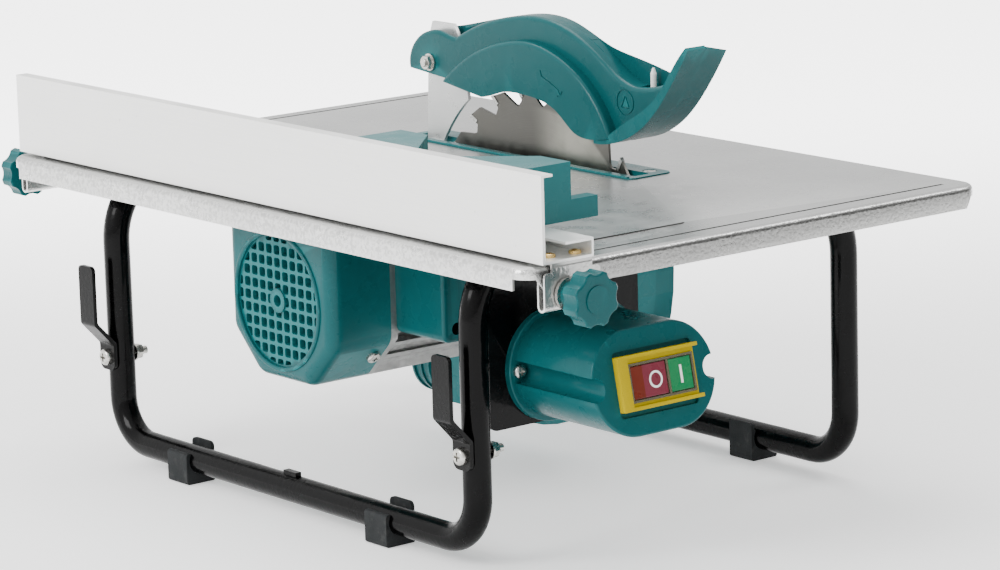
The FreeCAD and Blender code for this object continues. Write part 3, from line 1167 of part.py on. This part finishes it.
# ---------------------------------------------------------------- write every node
NODES = {
    "table_top": table_top, "table_insert": table_insert, "insert_screws": insert_screws,
    "leg_left": lambda: leg(-1), "leg_right": lambda: leg(1), "leg_screws": leg_screws,
    "foot_clips": foot_clips, "storage_hooks": storage_hooks, "hook_bolts": hook_bolts,
    "hook_nuts": hook_nuts, "front_plate": front_plate, "plate_screws": plate_screws,
    "switch_box": switch_box, "switch_box_screws": switch_box_screws, "switch_frame": switch_frame,
    "switch_module": switch_module, "switch_cover": switch_cover, "motor_hanger": motor_hanger,
    "hanger_screws": hanger_screws, "motor_housing": motor_housing,
    "motor_end_shield": motor_end_shield, "motor_stator": motor_stator,
    "motor_bearings": motor_bearings, "fan_cowl": fan_cowl, "cowl_screws": cowl_screws,
    "capacitor_box": capacitor_box, "capacitor_box_screws": capacitor_box_screws,
    "lower_guard_left": lambda: lower_guard(-1), "lower_guard_right": lambda: lower_guard(1),
    "lower_guard_screws": lower_guard_screws, "dust_spigot": dust_spigot,
    "riving_knife": riving_knife, "knife_bracket": knife_bracket, "knife_screws": knife_screws,
    "guard_pivot_bolt": guard_pivot_bolt,
    "rotor_shaft": rotor_shaft, "rotor_core": rotor_core, "cooling_fan": cooling_fan,
    "blade_flanges": blade_flanges, "saw_blade": saw_blade, "blade_tips": blade_tips,
    "arbor_nut": arbor_nut,
    "guard_left_shell": lambda: guard_shell(-1), "guard_right_shell": lambda: guard_shell(1),
    "guard_screws": guard_screws, "guard_pin": guard_pin,
    "fence_rail": fence_rail, "clamp_bracket_front": lambda: clamp_bracket(-1),
    "clamp_bracket_rear": lambda: clamp_bracket(1), "bracket_screws": bracket_screws,
    "clamp_knob_front": lambda: clamp_knob(-1), "clamp_knob_rear": lambda: clamp_knob(1),
    "clamp_screw_front": lambda: clamp_screw(-1), "clamp_screw_rear": lambda: clamp_screw(1),
    "crosscut_slider": crosscut_slider, "stop_button": stop_button, "start_button": start_button,
}

for name, make in NODES.items():
    shape = make()
    box_of = shape.BoundBox
    print("%-22s %2d solid(s) valid %s x %.1f..%.1f y %.1f..%.1f z %.1f..%.1f" % (
        name, len(shape.Solids), shape.isValid(), box_of.XMin, box_of.XMax,
        box_of.YMin, box_of.YMax, box_of.ZMin, box_of.ZMax))
    shape.exportStep("parts/%s.step" % name)
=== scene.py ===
"""Looks for the benchtop saw table: camera, studio, procedural materials and softened edges.

Everything is in metres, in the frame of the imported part: +X right, +Y away from the operator, +Z up.
"""

import json
import math

import bpy
from mathutils import Matrix, Vector


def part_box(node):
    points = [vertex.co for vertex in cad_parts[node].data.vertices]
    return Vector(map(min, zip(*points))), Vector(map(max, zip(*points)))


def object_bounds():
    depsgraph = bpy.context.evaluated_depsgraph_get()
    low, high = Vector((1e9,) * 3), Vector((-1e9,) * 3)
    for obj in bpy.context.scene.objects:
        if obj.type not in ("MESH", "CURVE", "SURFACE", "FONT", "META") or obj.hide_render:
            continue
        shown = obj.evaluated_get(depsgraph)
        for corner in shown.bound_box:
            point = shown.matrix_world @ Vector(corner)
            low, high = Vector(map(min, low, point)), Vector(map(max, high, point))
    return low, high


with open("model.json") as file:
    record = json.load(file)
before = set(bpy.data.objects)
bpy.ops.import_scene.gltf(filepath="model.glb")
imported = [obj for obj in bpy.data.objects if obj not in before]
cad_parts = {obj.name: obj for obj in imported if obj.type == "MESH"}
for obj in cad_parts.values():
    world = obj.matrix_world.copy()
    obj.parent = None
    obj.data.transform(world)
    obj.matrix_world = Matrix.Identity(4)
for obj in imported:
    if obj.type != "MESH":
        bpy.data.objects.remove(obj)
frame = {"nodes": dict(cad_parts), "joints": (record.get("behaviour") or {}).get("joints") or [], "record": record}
cad_low, cad_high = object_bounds()
nodes = frame["nodes"]
joints = {joint["name"]: joint for joint in frame["joints"]}

MM = 0.001
TABLE_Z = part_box("table_top")[1].z     # the table's upper face
ARBOR = Vector(joints["blade_spin"]["pos_m"])


# ---------------------------------------------------------------- camera
CAMERA_PLACE = Vector((-1.48674, -1.87721, 0.43246 + TABLE_Z))
CAMERA_YAW = math.radians(38.655)      # turned to the right of +Y
CAMERA_DOWN = math.radians(11.860)
CAMERA_ROLL = math.radians(-1.580)
CAMERA_LENS = 148.52                   # in mm, for the sensor below
CAMERA_SENSOR = 36.0
CAMERA_CLIP = (0.1, 50.0)


def make_camera():
    """Look down at the saw from the front left, as the photograph does."""
    data = bpy.data.cameras.new("studio_camera")
    data.lens = CAMERA_LENS
    data.sensor_width = CAMERA_SENSOR
    data.clip_start, data.clip_end = CAMERA_CLIP
    camera = bpy.data.objects.new("studio_camera", data)
    bpy.context.scene.collection.objects.link(camera)
    sin_yaw, cos_yaw = math.sin(CAMERA_YAW), math.cos(CAMERA_YAW)
    sin_down, cos_down = math.sin(CAMERA_DOWN), math.cos(CAMERA_DOWN)
    sin_roll, cos_roll = math.sin(CAMERA_ROLL), math.cos(CAMERA_ROLL)
    forward = Vector((sin_yaw * cos_down, cos_yaw * cos_down, -sin_down))
    level = Vector((cos_yaw, -sin_yaw, 0))
    upright = level.cross(forward)
    right = cos_roll * level + sin_roll * upright
    up = -sin_roll * level + cos_roll * upright
    turn = Matrix((right, up, -forward)).transposed()
    camera.matrix_world = Matrix.Translation(CAMERA_PLACE) @ turn.to_4x4()
    bpy.context.scene.camera = camera


# ---------------------------------------------------------------- material builder
NOISE_SPREAD = (0.3, 0.7)              # where nearly all values of a noise lie


def fill_range(mapper, source, result):
    """Make a Map Range node carry the pair `source` over to the pair `result`."""
    mapper.inputs["From Min"].default_value, mapper.inputs["From Max"].default_value = source
    mapper.inputs["To Min"].default_value, mapper.inputs["To Max"].default_value = result


class Look:
    """One Principled material, with helpers that add grain, spots and wear to it."""

    def __init__(self, name, color, roughness, metallic=0.0):
        self.material = bpy.data.materials.new(name)
        self.material.use_nodes = True
        self.tree = self.material.node_tree
        self.shader = self.tree.nodes["Principled BSDF"]
        self.fixed("Base Color", (*color, 1))
        self.fixed("Roughness", roughness)
        self.fixed("Metallic", metallic)
        self.place = self.node("ShaderNodeTexCoord").outputs["Object"]
        self.base = color              # the plain colour under all paint
        self.color = None              # what the last paint gave
        self.normal = None             # what the last bump gave

    def node(self, kind, **settings):
        made = self.tree.nodes.new(kind)
        for key, value in settings.items():
            setattr(made, key, value)
        return made

    def link(self, source, target):
        self.tree.links.new(source, target)

    def fixed(self, socket, value):
        """Give one of the shader's sockets a constant."""
        self.shader.inputs[socket].default_value = value

    def stretched(self, scale):
        """The place on the object scaled per axis, which draws a noise out into lines."""
        mapping = self.node("ShaderNodeMapping")
        mapping.inputs["Scale"].default_value = scale
        self.link(self.place, mapping.inputs["Vector"])
        return mapping.outputs["Vector"]

    def noise(self, scale, detail, vector=None):
        made = self.node("ShaderNodeTexNoise")
        made.inputs["Scale"].default_value = scale
        made.inputs["Detail"].default_value = detail
        self.link(vector or self.place, made.inputs["Vector"])
        return made.outputs["Fac"]

    def cells(self, scale):
        made = self.node("ShaderNodeTexVoronoi")
        made.inputs["Scale"].default_value = scale
        self.link(self.place, made.inputs["Vector"])
        return made.outputs["Distance"]

    def axis(self, name, vector=None):
        """One coordinate of a vector, by default of the place on the object."""
        split = self.node("ShaderNodeSeparateXYZ")
        self.link(vector or self.place, split.inputs["Vector"])
        return split.outputs[name]

    def math(self, operation, first, second=None):
        made = self.node("ShaderNodeMath", operation=operation)
        for socket, value in zip(made.inputs, (first, second)):
            if isinstance(value, (int, float)):
                socket.default_value = value
            elif value is not None:
                self.link(value, socket)
        return made.outputs["Value"]

    def distance(self, first, second):
        """Length of the flat vector that has these two parts."""
        squares = self.math("ADD", self.math("MULTIPLY", first, first),
                            self.math("MULTIPLY", second, second))
        return self.math("SQRT", squares)

    def span(self, value, source, result=(0, 1), smooth=True):
        """Carry a value from one range over to another, held at both ends."""
        made = self.node("ShaderNodeMapRange", clamp=True,
                         interpolation_type="SMOOTHSTEP" if smooth else "LINEAR")
        fill_range(made, source, result)
        self.link(value, made.inputs["Value"])
        return made.outputs["Result"]

    def paint(self, factor, color, strength=1.0):
        """Blend another colour over what is there, fully where factor and strength are 1."""
        mix = self.node("ShaderNodeMix", data_type="RGBA", clamp_factor=True)
        if self.color is None:
            mix.inputs["A"].default_value = (*self.base, 1)
        else:
            self.link(self.color, mix.inputs["A"])
        mix.inputs["B"].default_value = (*color, 1)
        amount = self.math("MULTIPLY", factor, strength) if strength != 1.0 else factor
        self.link(amount, mix.inputs["Factor"])
        self.color = mix.outputs["Result"]
        self.link(self.color, self.shader.inputs["Base Color"])

    def speckle(self, scale, detail, source, color, strength):
        """Paint another colour where a noise is high."""
        self.paint(self.span(self.noise(scale, detail), source), color, strength)

    def roughen(self, value, low, high):
        """Let the roughness follow a noise between two values."""
        self.link(self.span(value, NOISE_SPREAD, (low, high)), self.shader.inputs["Roughness"])

    def emboss(self, height, distance, strength=1.0):
        """Add a bump to the ones that are there."""
        bump = self.node("ShaderNodeBump")
        bump.inputs["Distance"].default_value = distance
        bump.inputs["Strength"].default_value = strength
        self.link(height, bump.inputs["Height"])
        if self.normal is not None:
            self.link(self.normal, bump.inputs["Normal"])
        self.normal = bump.outputs["Normal"]
        self.link(self.normal, self.shader.inputs["Normal"])

    def grain(self, scale, spread, distance):
        """Fine moulding grain: a shallow bump that is a little darker where it is high."""
        value = self.noise(scale, 3)
        dark = tuple(part * (1 - spread) for part in self.base)
        self.paint(self.span(value, (0.35, 0.65)), dark)
        self.emboss(value, distance)

    def edges(self, color, strength, source=(0.53, 0.60)):
        """Lighter rubbed edges."""
        pointy = self.node("ShaderNodeNewGeometry").outputs["Pointiness"]
        self.paint(self.span(pointy, source), color, strength)


# ---------------------------------------------------------------- studio
ROOM_BRIGHT_SIDE = (-0.62, 0.50, 0.35)     # to the left, behind and above
ROOM_FACING = (-0.7, 0.8)                  # how much a direction points that way, darkest to brightest
ROOM_LEVEL = (0.38, 2.1)                   # strength of the room's light at these two
SAW_MIDDLE = (0, 0, 0.12)
FRONT_RIGHT = (0.1, -0.25, 0.18)
LIGHTS = [                                 # name, place, target, side of the square, power in watts
    ("key_left", (-1.9, 0.1, 1.3), SAW_MIDDLE, 1.0, 38),
    ("top_soft", (0.3, 0.7, 2.0), SAW_MIDDLE, 1.4, 30),
    ("edge_right", (1.2, -0.55, 1.4), FRONT_RIGHT, 0.7, 9),
]
FLOOR_RADIUS = 6.0
FLOOR_POINTS = 96
FLOOR_GAP = 0.2 * MM                       # between the feet and the sheet
SWEEP_TOWARD = (0.62, 0.78)                # X and Y of the way in which the glow rises
SWEEP_PLACE = (0.25, 1.3)                  # where the glow starts to rise and where it is full
SWEEP_GLOW = (0.45, 3.2)


def area_light(name, place, target, size, power):
    data = bpy.data.lights.new(name, "AREA")
    data.shape = "SQUARE"
    data.size = size
    data.energy = power
    light = bpy.data.objects.new(name, data)
    bpy.context.scene.collection.objects.link(light)
    light.location = place
    light.rotation_mode = "QUATERNION"
    light.rotation_quaternion = (Vector(target) - Vector(place)).to_track_quat("-Z", "Y")


def make_room():
    """A soft white room that is brighter on the left, behind and above than in front."""
    world = bpy.data.worlds.new("studio")
    bpy.context.scene.world = world
    world.use_nodes = True
    tree = world.node_tree
    background = tree.nodes["Background"]
    background.inputs["Color"].default_value = (1, 1, 1, 1)
    facing = tree.nodes.new("ShaderNodeVectorMath")
    facing.operation = "DOT_PRODUCT"
    facing.inputs[1].default_value = ROOM_BRIGHT_SIDE
    tree.links.new(tree.nodes.new("ShaderNodeTexCoord").outputs["Generated"], facing.inputs[0])
    level = tree.nodes.new("ShaderNodeMapRange")
    fill_range(level, ROOM_FACING, ROOM_LEVEL)
    tree.links.new(facing.outputs["Value"], level.inputs["Value"])
    tree.links.new(level.outputs["Result"], background.inputs["Strength"])


def floor_paper():
    """Pale paper that glows more towards the back, as a lit studio sweep does."""
    look = Look("floor_paper", (0.93, 0.93, 0.93), 0.85)
    look.grain(800, 0.05, 0.0001)
    look.fixed("Emission Color", (1, 1, 1, 1))
    sideways = look.math("MULTIPLY", look.axis("X"), SWEEP_TOWARD[0])
    backwards = look.math("MULTIPLY", look.axis("Y"), SWEEP_TOWARD[1])
    glow = look.span(look.math("ADD", sideways, backwards), SWEEP_PLACE, SWEEP_GLOW)
    look.link(glow, look.shader.inputs["Emission Strength"])
    return look.material


def make_floor():
    """A wide round sheet just under the feet."""
    ring = []
    for k in range(FLOOR_POINTS):
        angle = 2 * math.pi * k / FLOOR_POINTS
        ring.append((FLOOR_RADIUS * math.cos(angle), FLOOR_RADIUS * math.sin(angle), 0))
    mesh = bpy.data.meshes.new("floor")
    mesh.from_pydata(ring, [], [tuple(range(FLOOR_POINTS))])
    floor = bpy.data.objects.new("floor", mesh)
    bpy.context.scene.collection.objects.link(floor)
    floor.location.z = cad_low.z - FLOOR_GAP
    floor.data.materials.append(floor_paper())


def make_studio():
    make_room()
    for light in LIGHTS:
        area_light(*light)
    make_floor()


# ---------------------------------------------------------------- plastics, rubber and paint
TEAL = (0.0007, 0.068, 0.073)
TEAL_DEEP = (0.0008, 0.060, 0.065)
TEAL_FLECK = (0.0015, 0.100, 0.106)
TEAL_WORN = (0.012, 0.190, 0.200)


def teal_plastic():
    """Satin moulding: slow colour drift, fine flecks and a faint unevenness under a thin gloss."""
    look = Look("teal_plastic", TEAL, 0.34)
    look.speckle(14, 3, (0.35, 0.65), TEAL_DEEP, 0.6)
    fine = look.noise(2600, 2)
    look.paint(look.span(fine, (0.45, 0.75)), TEAL_FLECK, 0.5)
    look.emboss(fine, 0.00004)
    look.emboss(look.noise(90, 2), 0.00018)
    look.roughen(look.noise(60, 4), 0.24, 0.36)
    look.edges(TEAL_WORN, 0.4, (0.54, 0.62))
    look.fixed("Specular IOR Level", 0.10)
    look.fixed("Coat Weight", 0.14)
    look.fixed("Coat Roughness", 0.09)
    return look.material


def black_paint():
    """Glossy black with a slight orange peel, a few dull specks and edges rubbed grey."""
    look = Look("black_paint", (0.0008, 0.0008, 0.0009), 0.20)
    look.emboss(look.noise(420, 2), 0.00016)
    look.roughen(look.noise(50, 4), 0.15, 0.32)
    look.speckle(700, 3, (0.62, 0.72), (0.006, 0.006, 0.007), 0.4)
    look.edges((0.03, 0.03, 0.03), 0.3, (0.58, 0.66))
    look.fixed("Specular IOR Level", 0.05)
    look.fixed("Coat Weight", 0.13)
    look.fixed("Coat Roughness", 0.08)
    return look.material


def moulded(name, color, roughness, spread=0.18):
    """Plain moulded plastic or rubber, for the functions below to build on."""
    look = Look(name, color, roughness)
    look.grain(2200, spread, 0.00005)
    look.emboss(look.noise(160, 2), 0.00012)
    look.roughen(look.noise(80, 4), roughness - 0.06, roughness + 0.10)
    look.fixed("Specular IOR Level", 0.2)
    return look


def rubber():
    look = moulded("rubber", (0.016, 0.018, 0.019), 0.72, 0.4)
    look.speckle(180, 5, (0.55, 0.70), (0.05, 0.05, 0.048), 0.25)
    look.emboss(look.noise(900, 4), 0.00015)
    return look.material


def yellow_plastic():
    look = moulded("yellow_plastic", (0.40, 0.298, 0.0), 0.33, 0.10)
    look.edges((0.55, 0.42, 0.0), 0.3)
    look.fixed("Specular IOR Level", 0.08)
    return look.material


def black_plastic():
    return moulded("black_plastic", (0.012, 0.012, 0.013), 0.42, 0.3).material


def white_plastic():
    return moulded("white_plastic", (0.82, 0.82, 0.79), 0.38, 0.06).material


def clear_rim():
    """Half-clear moulding of the frame over the buttons."""
    look = Look("clear_rim", (0.20, 0.18, 0.11), 0.16)
    look.fixed("Transmission Weight", 0.55)
    look.fixed("IOR", 1.49)
    look.emboss(look.noise(700, 2), 0.00006)
    look.roughen(look.noise(200, 3), 0.10, 0.24)
    return look.material


# ---------------------------------------------------------------- the two buttons and their signs
SWITCH_TILT = math.radians(12)         # the buttons lean back with the switch face
SIGN_WHITE = (0.86, 0.86, 0.84)
SIGN_BACK = 5.20 * MM                  # from a button's foremost point back to the middle of its sign
SIGN_RAISE = 0.17 * MM                 # from the middle of its height up to the middle of its sign
BUTTON_COAT = 0.3
STRIP_SHARE = 0.33                     # how much of the stop button's width the darker strip takes
STRIP_BLUR = 0.1 * MM
RING_SHIFT = 4.2 * MM                  # from the stop button's middle to the ring's
RING_RADIUS = 4.1 * MM
RING_LINE = (0.54 * MM, 0.64 * MM)     # half the line's width, where it starts and stops fading
BAR_WIDTH = (0.72 * MM, 0.84 * MM)     # half the bar's width, in the same way
BAR_HEIGHT = (4.9 * MM, 5.05 * MM)     # half its height


def sign_offsets(look, node, shift):
    """Distances across and up the leaning cap, from the middle of its sign."""
    low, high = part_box(node)
    x = (low.x + high.x) / 2 + shift
    y = low.y + SIGN_BACK
    z = (low.z + high.z) / 2 + SIGN_RAISE
    across = look.math("ABSOLUTE", look.math("SUBTRACT", look.axis("X"), x))
    back = look.math("MULTIPLY", look.math("SUBTRACT", look.axis("Y"), y), math.sin(SWITCH_TILT))
    rise = look.math("MULTIPLY", look.math("SUBTRACT", look.axis("Z"), z), math.cos(SWITCH_TILT))
    return across, look.math("ABSOLUTE", look.math("ADD", back, rise))


def stop_plastic():
    """Deep red cap with a darker brown-red left strip and a white ring."""
    look = moulded("stop_plastic", (0.165, 0.020, 0.036), 0.26)
    low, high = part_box("stop_button")
    split = low.x + (high.x - low.x) * STRIP_SHARE
    strip = look.span(look.axis("X"), (split - STRIP_BLUR, split + STRIP_BLUR), (1, 0), smooth=False)
    look.paint(strip, (0.120, 0.012, 0.003))
    across, up = sign_offsets(look, "stop_button", RING_SHIFT)
    off_line = look.math("ABSOLUTE", look.math("SUBTRACT", look.distance(across, up), RING_RADIUS))
    look.paint(look.span(off_line, RING_LINE, (1, 0)), SIGN_WHITE)
    look.fixed("Coat Weight", BUTTON_COAT)
    return look.material


def start_plastic():
    """Green cap with a white bar."""
    look = moulded("green_plastic", (0.006, 0.185, 0.060), 0.26)
    across, up = sign_offsets(look, "start_button", 0.0)
    bar = look.math("MULTIPLY", look.span(across, BAR_WIDTH, (1, 0)), look.span(up, BAR_HEIGHT, (1, 0)))
    look.paint(bar, SIGN_WHITE)
    look.fixed("Coat Weight", BUTTON_COAT)
    return look.material


# ---------------------------------------------------------------- metals
FACE_FADE = (TABLE_Z - 1.2 * MM, TABLE_Z - 0.3 * MM)   # heights between which the table face begins
FRONT_FACING = (-0.97, -0.80)          # Y of the normal on sheet that faces the operator
HIGHLIGHT_FAN_ANGLE = (-0.10, 0.42)              # forward of straight up, in radians, where the blade's painted highlight fan sets in
HIGHLIGHT_FAN_RIM = (86.0 * MM, 89.0 * MM)       # radius at which the painted highlight fan fades towards the teeth
HIGHLIGHT_FAN_LEFT = 0.12                        # what is left of it there


def galvanised():
    """Zinc-coated sheet with bright crystals, pebbled below and rubbed dark and smooth on the table face, with
    painted shade in the pebble's hollows and a painted reflection that darkens the sheet facing the operator.
    """
    look = Look("galvanised", (0.66, 0.66, 0.65), 0.34, 0.85)
    look.paint(look.span(look.cells(420), (0.15, 0.65)), (0.84, 0.84, 0.82), 0.55)
    look.speckle(26, 4, (0.40, 0.62), (0.56, 0.56, 0.55), 0.4)
    below = look.span(look.axis("Z"), FACE_FADE, (1, 0))
    look.paint(look.math("SUBTRACT", 1.0, below), (0.34, 0.345, 0.34), 0.62)
    # painted reflection: the sheet that faces the operator is painted darker, standing in for the dark front of
    # the room that it mirrors
    reflection_facing = look.axis("Y", look.node("ShaderNodeTexCoord").outputs["Normal"])
    look.paint(look.span(reflection_facing, FRONT_FACING, (1, 0)), (0.045, 0.045, 0.043), 0.88)
    # the pebbled coat is left everywhere below the table face
    pebble = look.noise(480, 2)
    # painted shade: the pebble's hollows are painted darker
    shaded_hollows = look.math("MULTIPLY", look.span(pebble, (0.42, 0.56), (1, 0)), below)
    look.paint(shaded_hollows, (0.28, 0.28, 0.275), 0.42)
    look.emboss(look.math("MULTIPLY", pebble, below), 0.0006, 0.7)
    look.roughen(look.noise(60, 3), 0.26, 0.33)
    look.edges((0.90, 0.90, 0.88), 0.5)
    return look.material


def zinc():
    look = Look("zinc", (0.56, 0.55, 0.52), 0.22, 1.0)
    look.speckle(300, 4, (0.45, 0.65), (0.36, 0.355, 0.33), 0.6)
    look.emboss(look.noise(1500, 3), 0.00006)
    look.roughen(look.noise(500, 4), 0.16, 0.38)
    return look.material


def brass():
    look = Look("brass", (0.82, 0.58, 0.22), 0.26, 1.0)
    look.speckle(420, 4, (0.45, 0.65), (0.62, 0.38, 0.12), 0.7)
    look.emboss(look.noise(1500, 3), 0.00006)
    look.roughen(look.noise(500, 4), 0.18, 0.40)
    return look.material


def aluminium():
    """Anodised extrusion with fine draw lines along its length, smudges and a few dark specks."""
    look = Look("aluminium", (0.90, 0.90, 0.88), 0.38, 0.60)
    lines = look.noise(1.0, 3, look.stretched((2600, 18, 2600)))
    look.paint(look.span(lines, (0.40, 0.64)), (0.80, 0.80, 0.78), 0.45)
    look.emboss(lines, 0.00008)
    look.roughen(look.noise(22, 5), 0.30, 0.44)
    look.speckle(330, 2, (0.735, 0.765), (0.38, 0.38, 0.36), 0.5)
    look.edges((0.92, 0.92, 0.90), 0.5)
    return look.material


def cast_aluminium():
    look = Look("cast_aluminium", (0.36, 0.36, 0.355), 0.44, 0.9)
    look.speckle(70, 5, (0.4, 0.62), (0.27, 0.27, 0.265), 0.7)
    look.emboss(look.noise(700, 4), 0.00030)
    look.roughen(look.noise(300, 4), 0.34, 0.58)
    look.edges((0.60, 0.60, 0.59), 0.6)
    return look.material


def blade_steel():
    """Ground plate: concentric grinding lines, a base colour kept dark as painted shade, and a painted highlight
    for the fan of light such lines throw to the front.
    """
    # painted shade: the plate's base colour is kept far darker than bare steel
    look = Look("blade_steel", (0.135, 0.132, 0.122), 0.30, 1.0)
    forward = look.math("SUBTRACT", ARBOR.y, look.axis("Y"))
    upward = look.math("SUBTRACT", look.axis("Z"), ARBOR.z)
    radius = look.distance(forward, upward)
    angle = look.math("ARCTAN2", forward, upward)
    # painted highlight: a lighter fan just forward of straight up from the arbor, fading towards the teeth
    fan = look.math("MULTIPLY", look.span(angle, HIGHLIGHT_FAN_ANGLE), look.span(radius, HIGHLIGHT_FAN_RIM, (1, HIGHLIGHT_FAN_LEFT)))
    look.paint(fan, (0.52, 0.51, 0.45))
    # a noise that changes with the radius alone gives the lines
    join = look.node("ShaderNodeCombineXYZ")
    look.link(radius, join.inputs["X"])
    lines = look.noise(2400, 4, join.outputs["Vector"])
    look.paint(look.span(lines, (0.38, 0.64)), (0.20, 0.195, 0.18), 0.35)
    look.emboss(lines, 0.000002)
    look.speckle(32, 5, (0.52, 0.68), (0.14, 0.135, 0.12), 0.3)
    look.roughen(look.noise(140, 4), 0.30, 0.38)
    look.fixed("Anisotropic", 0.4)
    around = look.node("ShaderNodeTangent", direction_type="RADIAL", axis="X")
    look.link(around.outputs["Tangent"], look.shader.inputs["Tangent"])
    return look.material


def carbide():
    look = Look("carbide", (0.62, 0.62, 0.60), 0.34, 1.0)
    look.speckle(900, 3, (0.42, 0.62), (0.42, 0.42, 0.41), 0.7)
    look.emboss(look.noise(2600, 3), 0.00005)
    return look.material


def knife_steel():
    """Rolled plate with faint lines along its length."""
    look = Look("knife_steel", (0.60, 0.61, 0.605), 0.34, 0.7)
    lines = look.noise(1.0, 3, look.stretched((900, 40, 3200)))
    look.paint(look.span(lines, (0.4, 0.64)), (0.66, 0.66, 0.65), 0.5)
    look.emboss(lines, 0.00003)
    look.roughen(look.noise(80, 4), 0.24, 0.40)
    return look.material


def plain_steel():
    look = Look("plain_steel", (0.50, 0.50, 0.50), 0.38, 1.0)
    look.speckle(120, 5, (0.42, 0.62), (0.38, 0.375, 0.36), 0.6)
    look.emboss(look.noise(1100, 3), 0.00010)
    look.roughen(look.noise(260, 4), 0.28, 0.50)
    return look.material


def winding():
    """Turns of enamelled copper wire."""
    look = Look("winding", (0.46, 0.17, 0.05), 0.34, 0.6)
    turns = look.noise(1.0, 3, look.stretched((2400, 120, 120)))
    look.paint(look.span(turns, (0.4, 0.6)), (0.22, 0.07, 0.02), 0.8)
    look.emboss(turns, 0.0004)
    return look.material


# ---------------------------------------------------------------- which node gets which look
MAKERS = {
    "galvanised": galvanised, "teal_plastic": teal_plastic, "black_paint": black_paint,
    "black_plastic": black_plastic, "yellow_plastic": yellow_plastic, "red_plastic": stop_plastic,
    "green_plastic": start_plastic, "clear_plastic": clear_rim, "zinc": zinc, "brass": brass,
    "aluminium": aluminium, "cast_aluminium": cast_aluminium, "steel": plain_steel,
    "copper_winding": winding, "rubber": rubber, "white_plastic": white_plastic,
}
SPECIAL = {"saw_blade": blade_steel, "blade_tips": carbide, "riving_knife": knife_steel}


def dress_nodes():
    """Give every CAD node the material of its slot, or its own one if it has a special look."""
    slots = {part["node"]: part["material_slot"] for part in frame["record"]["subparts"]}
    made = {}
    for name, node in nodes.items():
        maker = SPECIAL.get(name) or MAKERS[slots[name]]
        if maker not in made:
            made[maker] = maker()
        if not node.material_slots:
            node.data.materials.append(made[maker])
        for slot in node.material_slots:
            slot.material = made[maker]


# ---------------------------------------------------------------- softened edges
BEVEL_SEGMENTS = 2
BEVEL_ANGLE = math.radians(38)         # only edges sharper than this are softened
BEVELS = {                             # widths in mm
    "switch_box": 0.8, "fan_cowl": 0.5, "capacitor_box": 0.6, "crosscut_slider": 0.7,
    "guard_left_shell": 0.45, "guard_right_shell": 0.45, "clamp_knob_front": 0.7,
    "clamp_knob_rear": 0.7, "switch_frame": 0.4, "fence_rail": 0.25, "storage_hooks": 0.4,
    "clamp_bracket_front": 0.3, "clamp_bracket_rear": 0.3, "foot_clips": 0.5,
    "riving_knife": 0.2, "lower_guard_left": 0.3, "lower_guard_right": 0.3, "dust_spigot": 0.4,
    "motor_housing": 0.3, "motor_end_shield": 0.4, "front_plate": 0.3, "table_insert": 0.25,
}


def soften_edges():
    for name, width in BEVELS.items():
        bevel = nodes[name].modifiers.new("soft_edge", "BEVEL")
        bevel.width = width * MM
        bevel.segments = BEVEL_SEGMENTS
        bevel.limit_method = "ANGLE"
        bevel.angle_limit = BEVEL_ANGLE


make_camera()
make_studio()
dress_nodes()
soften_edges()
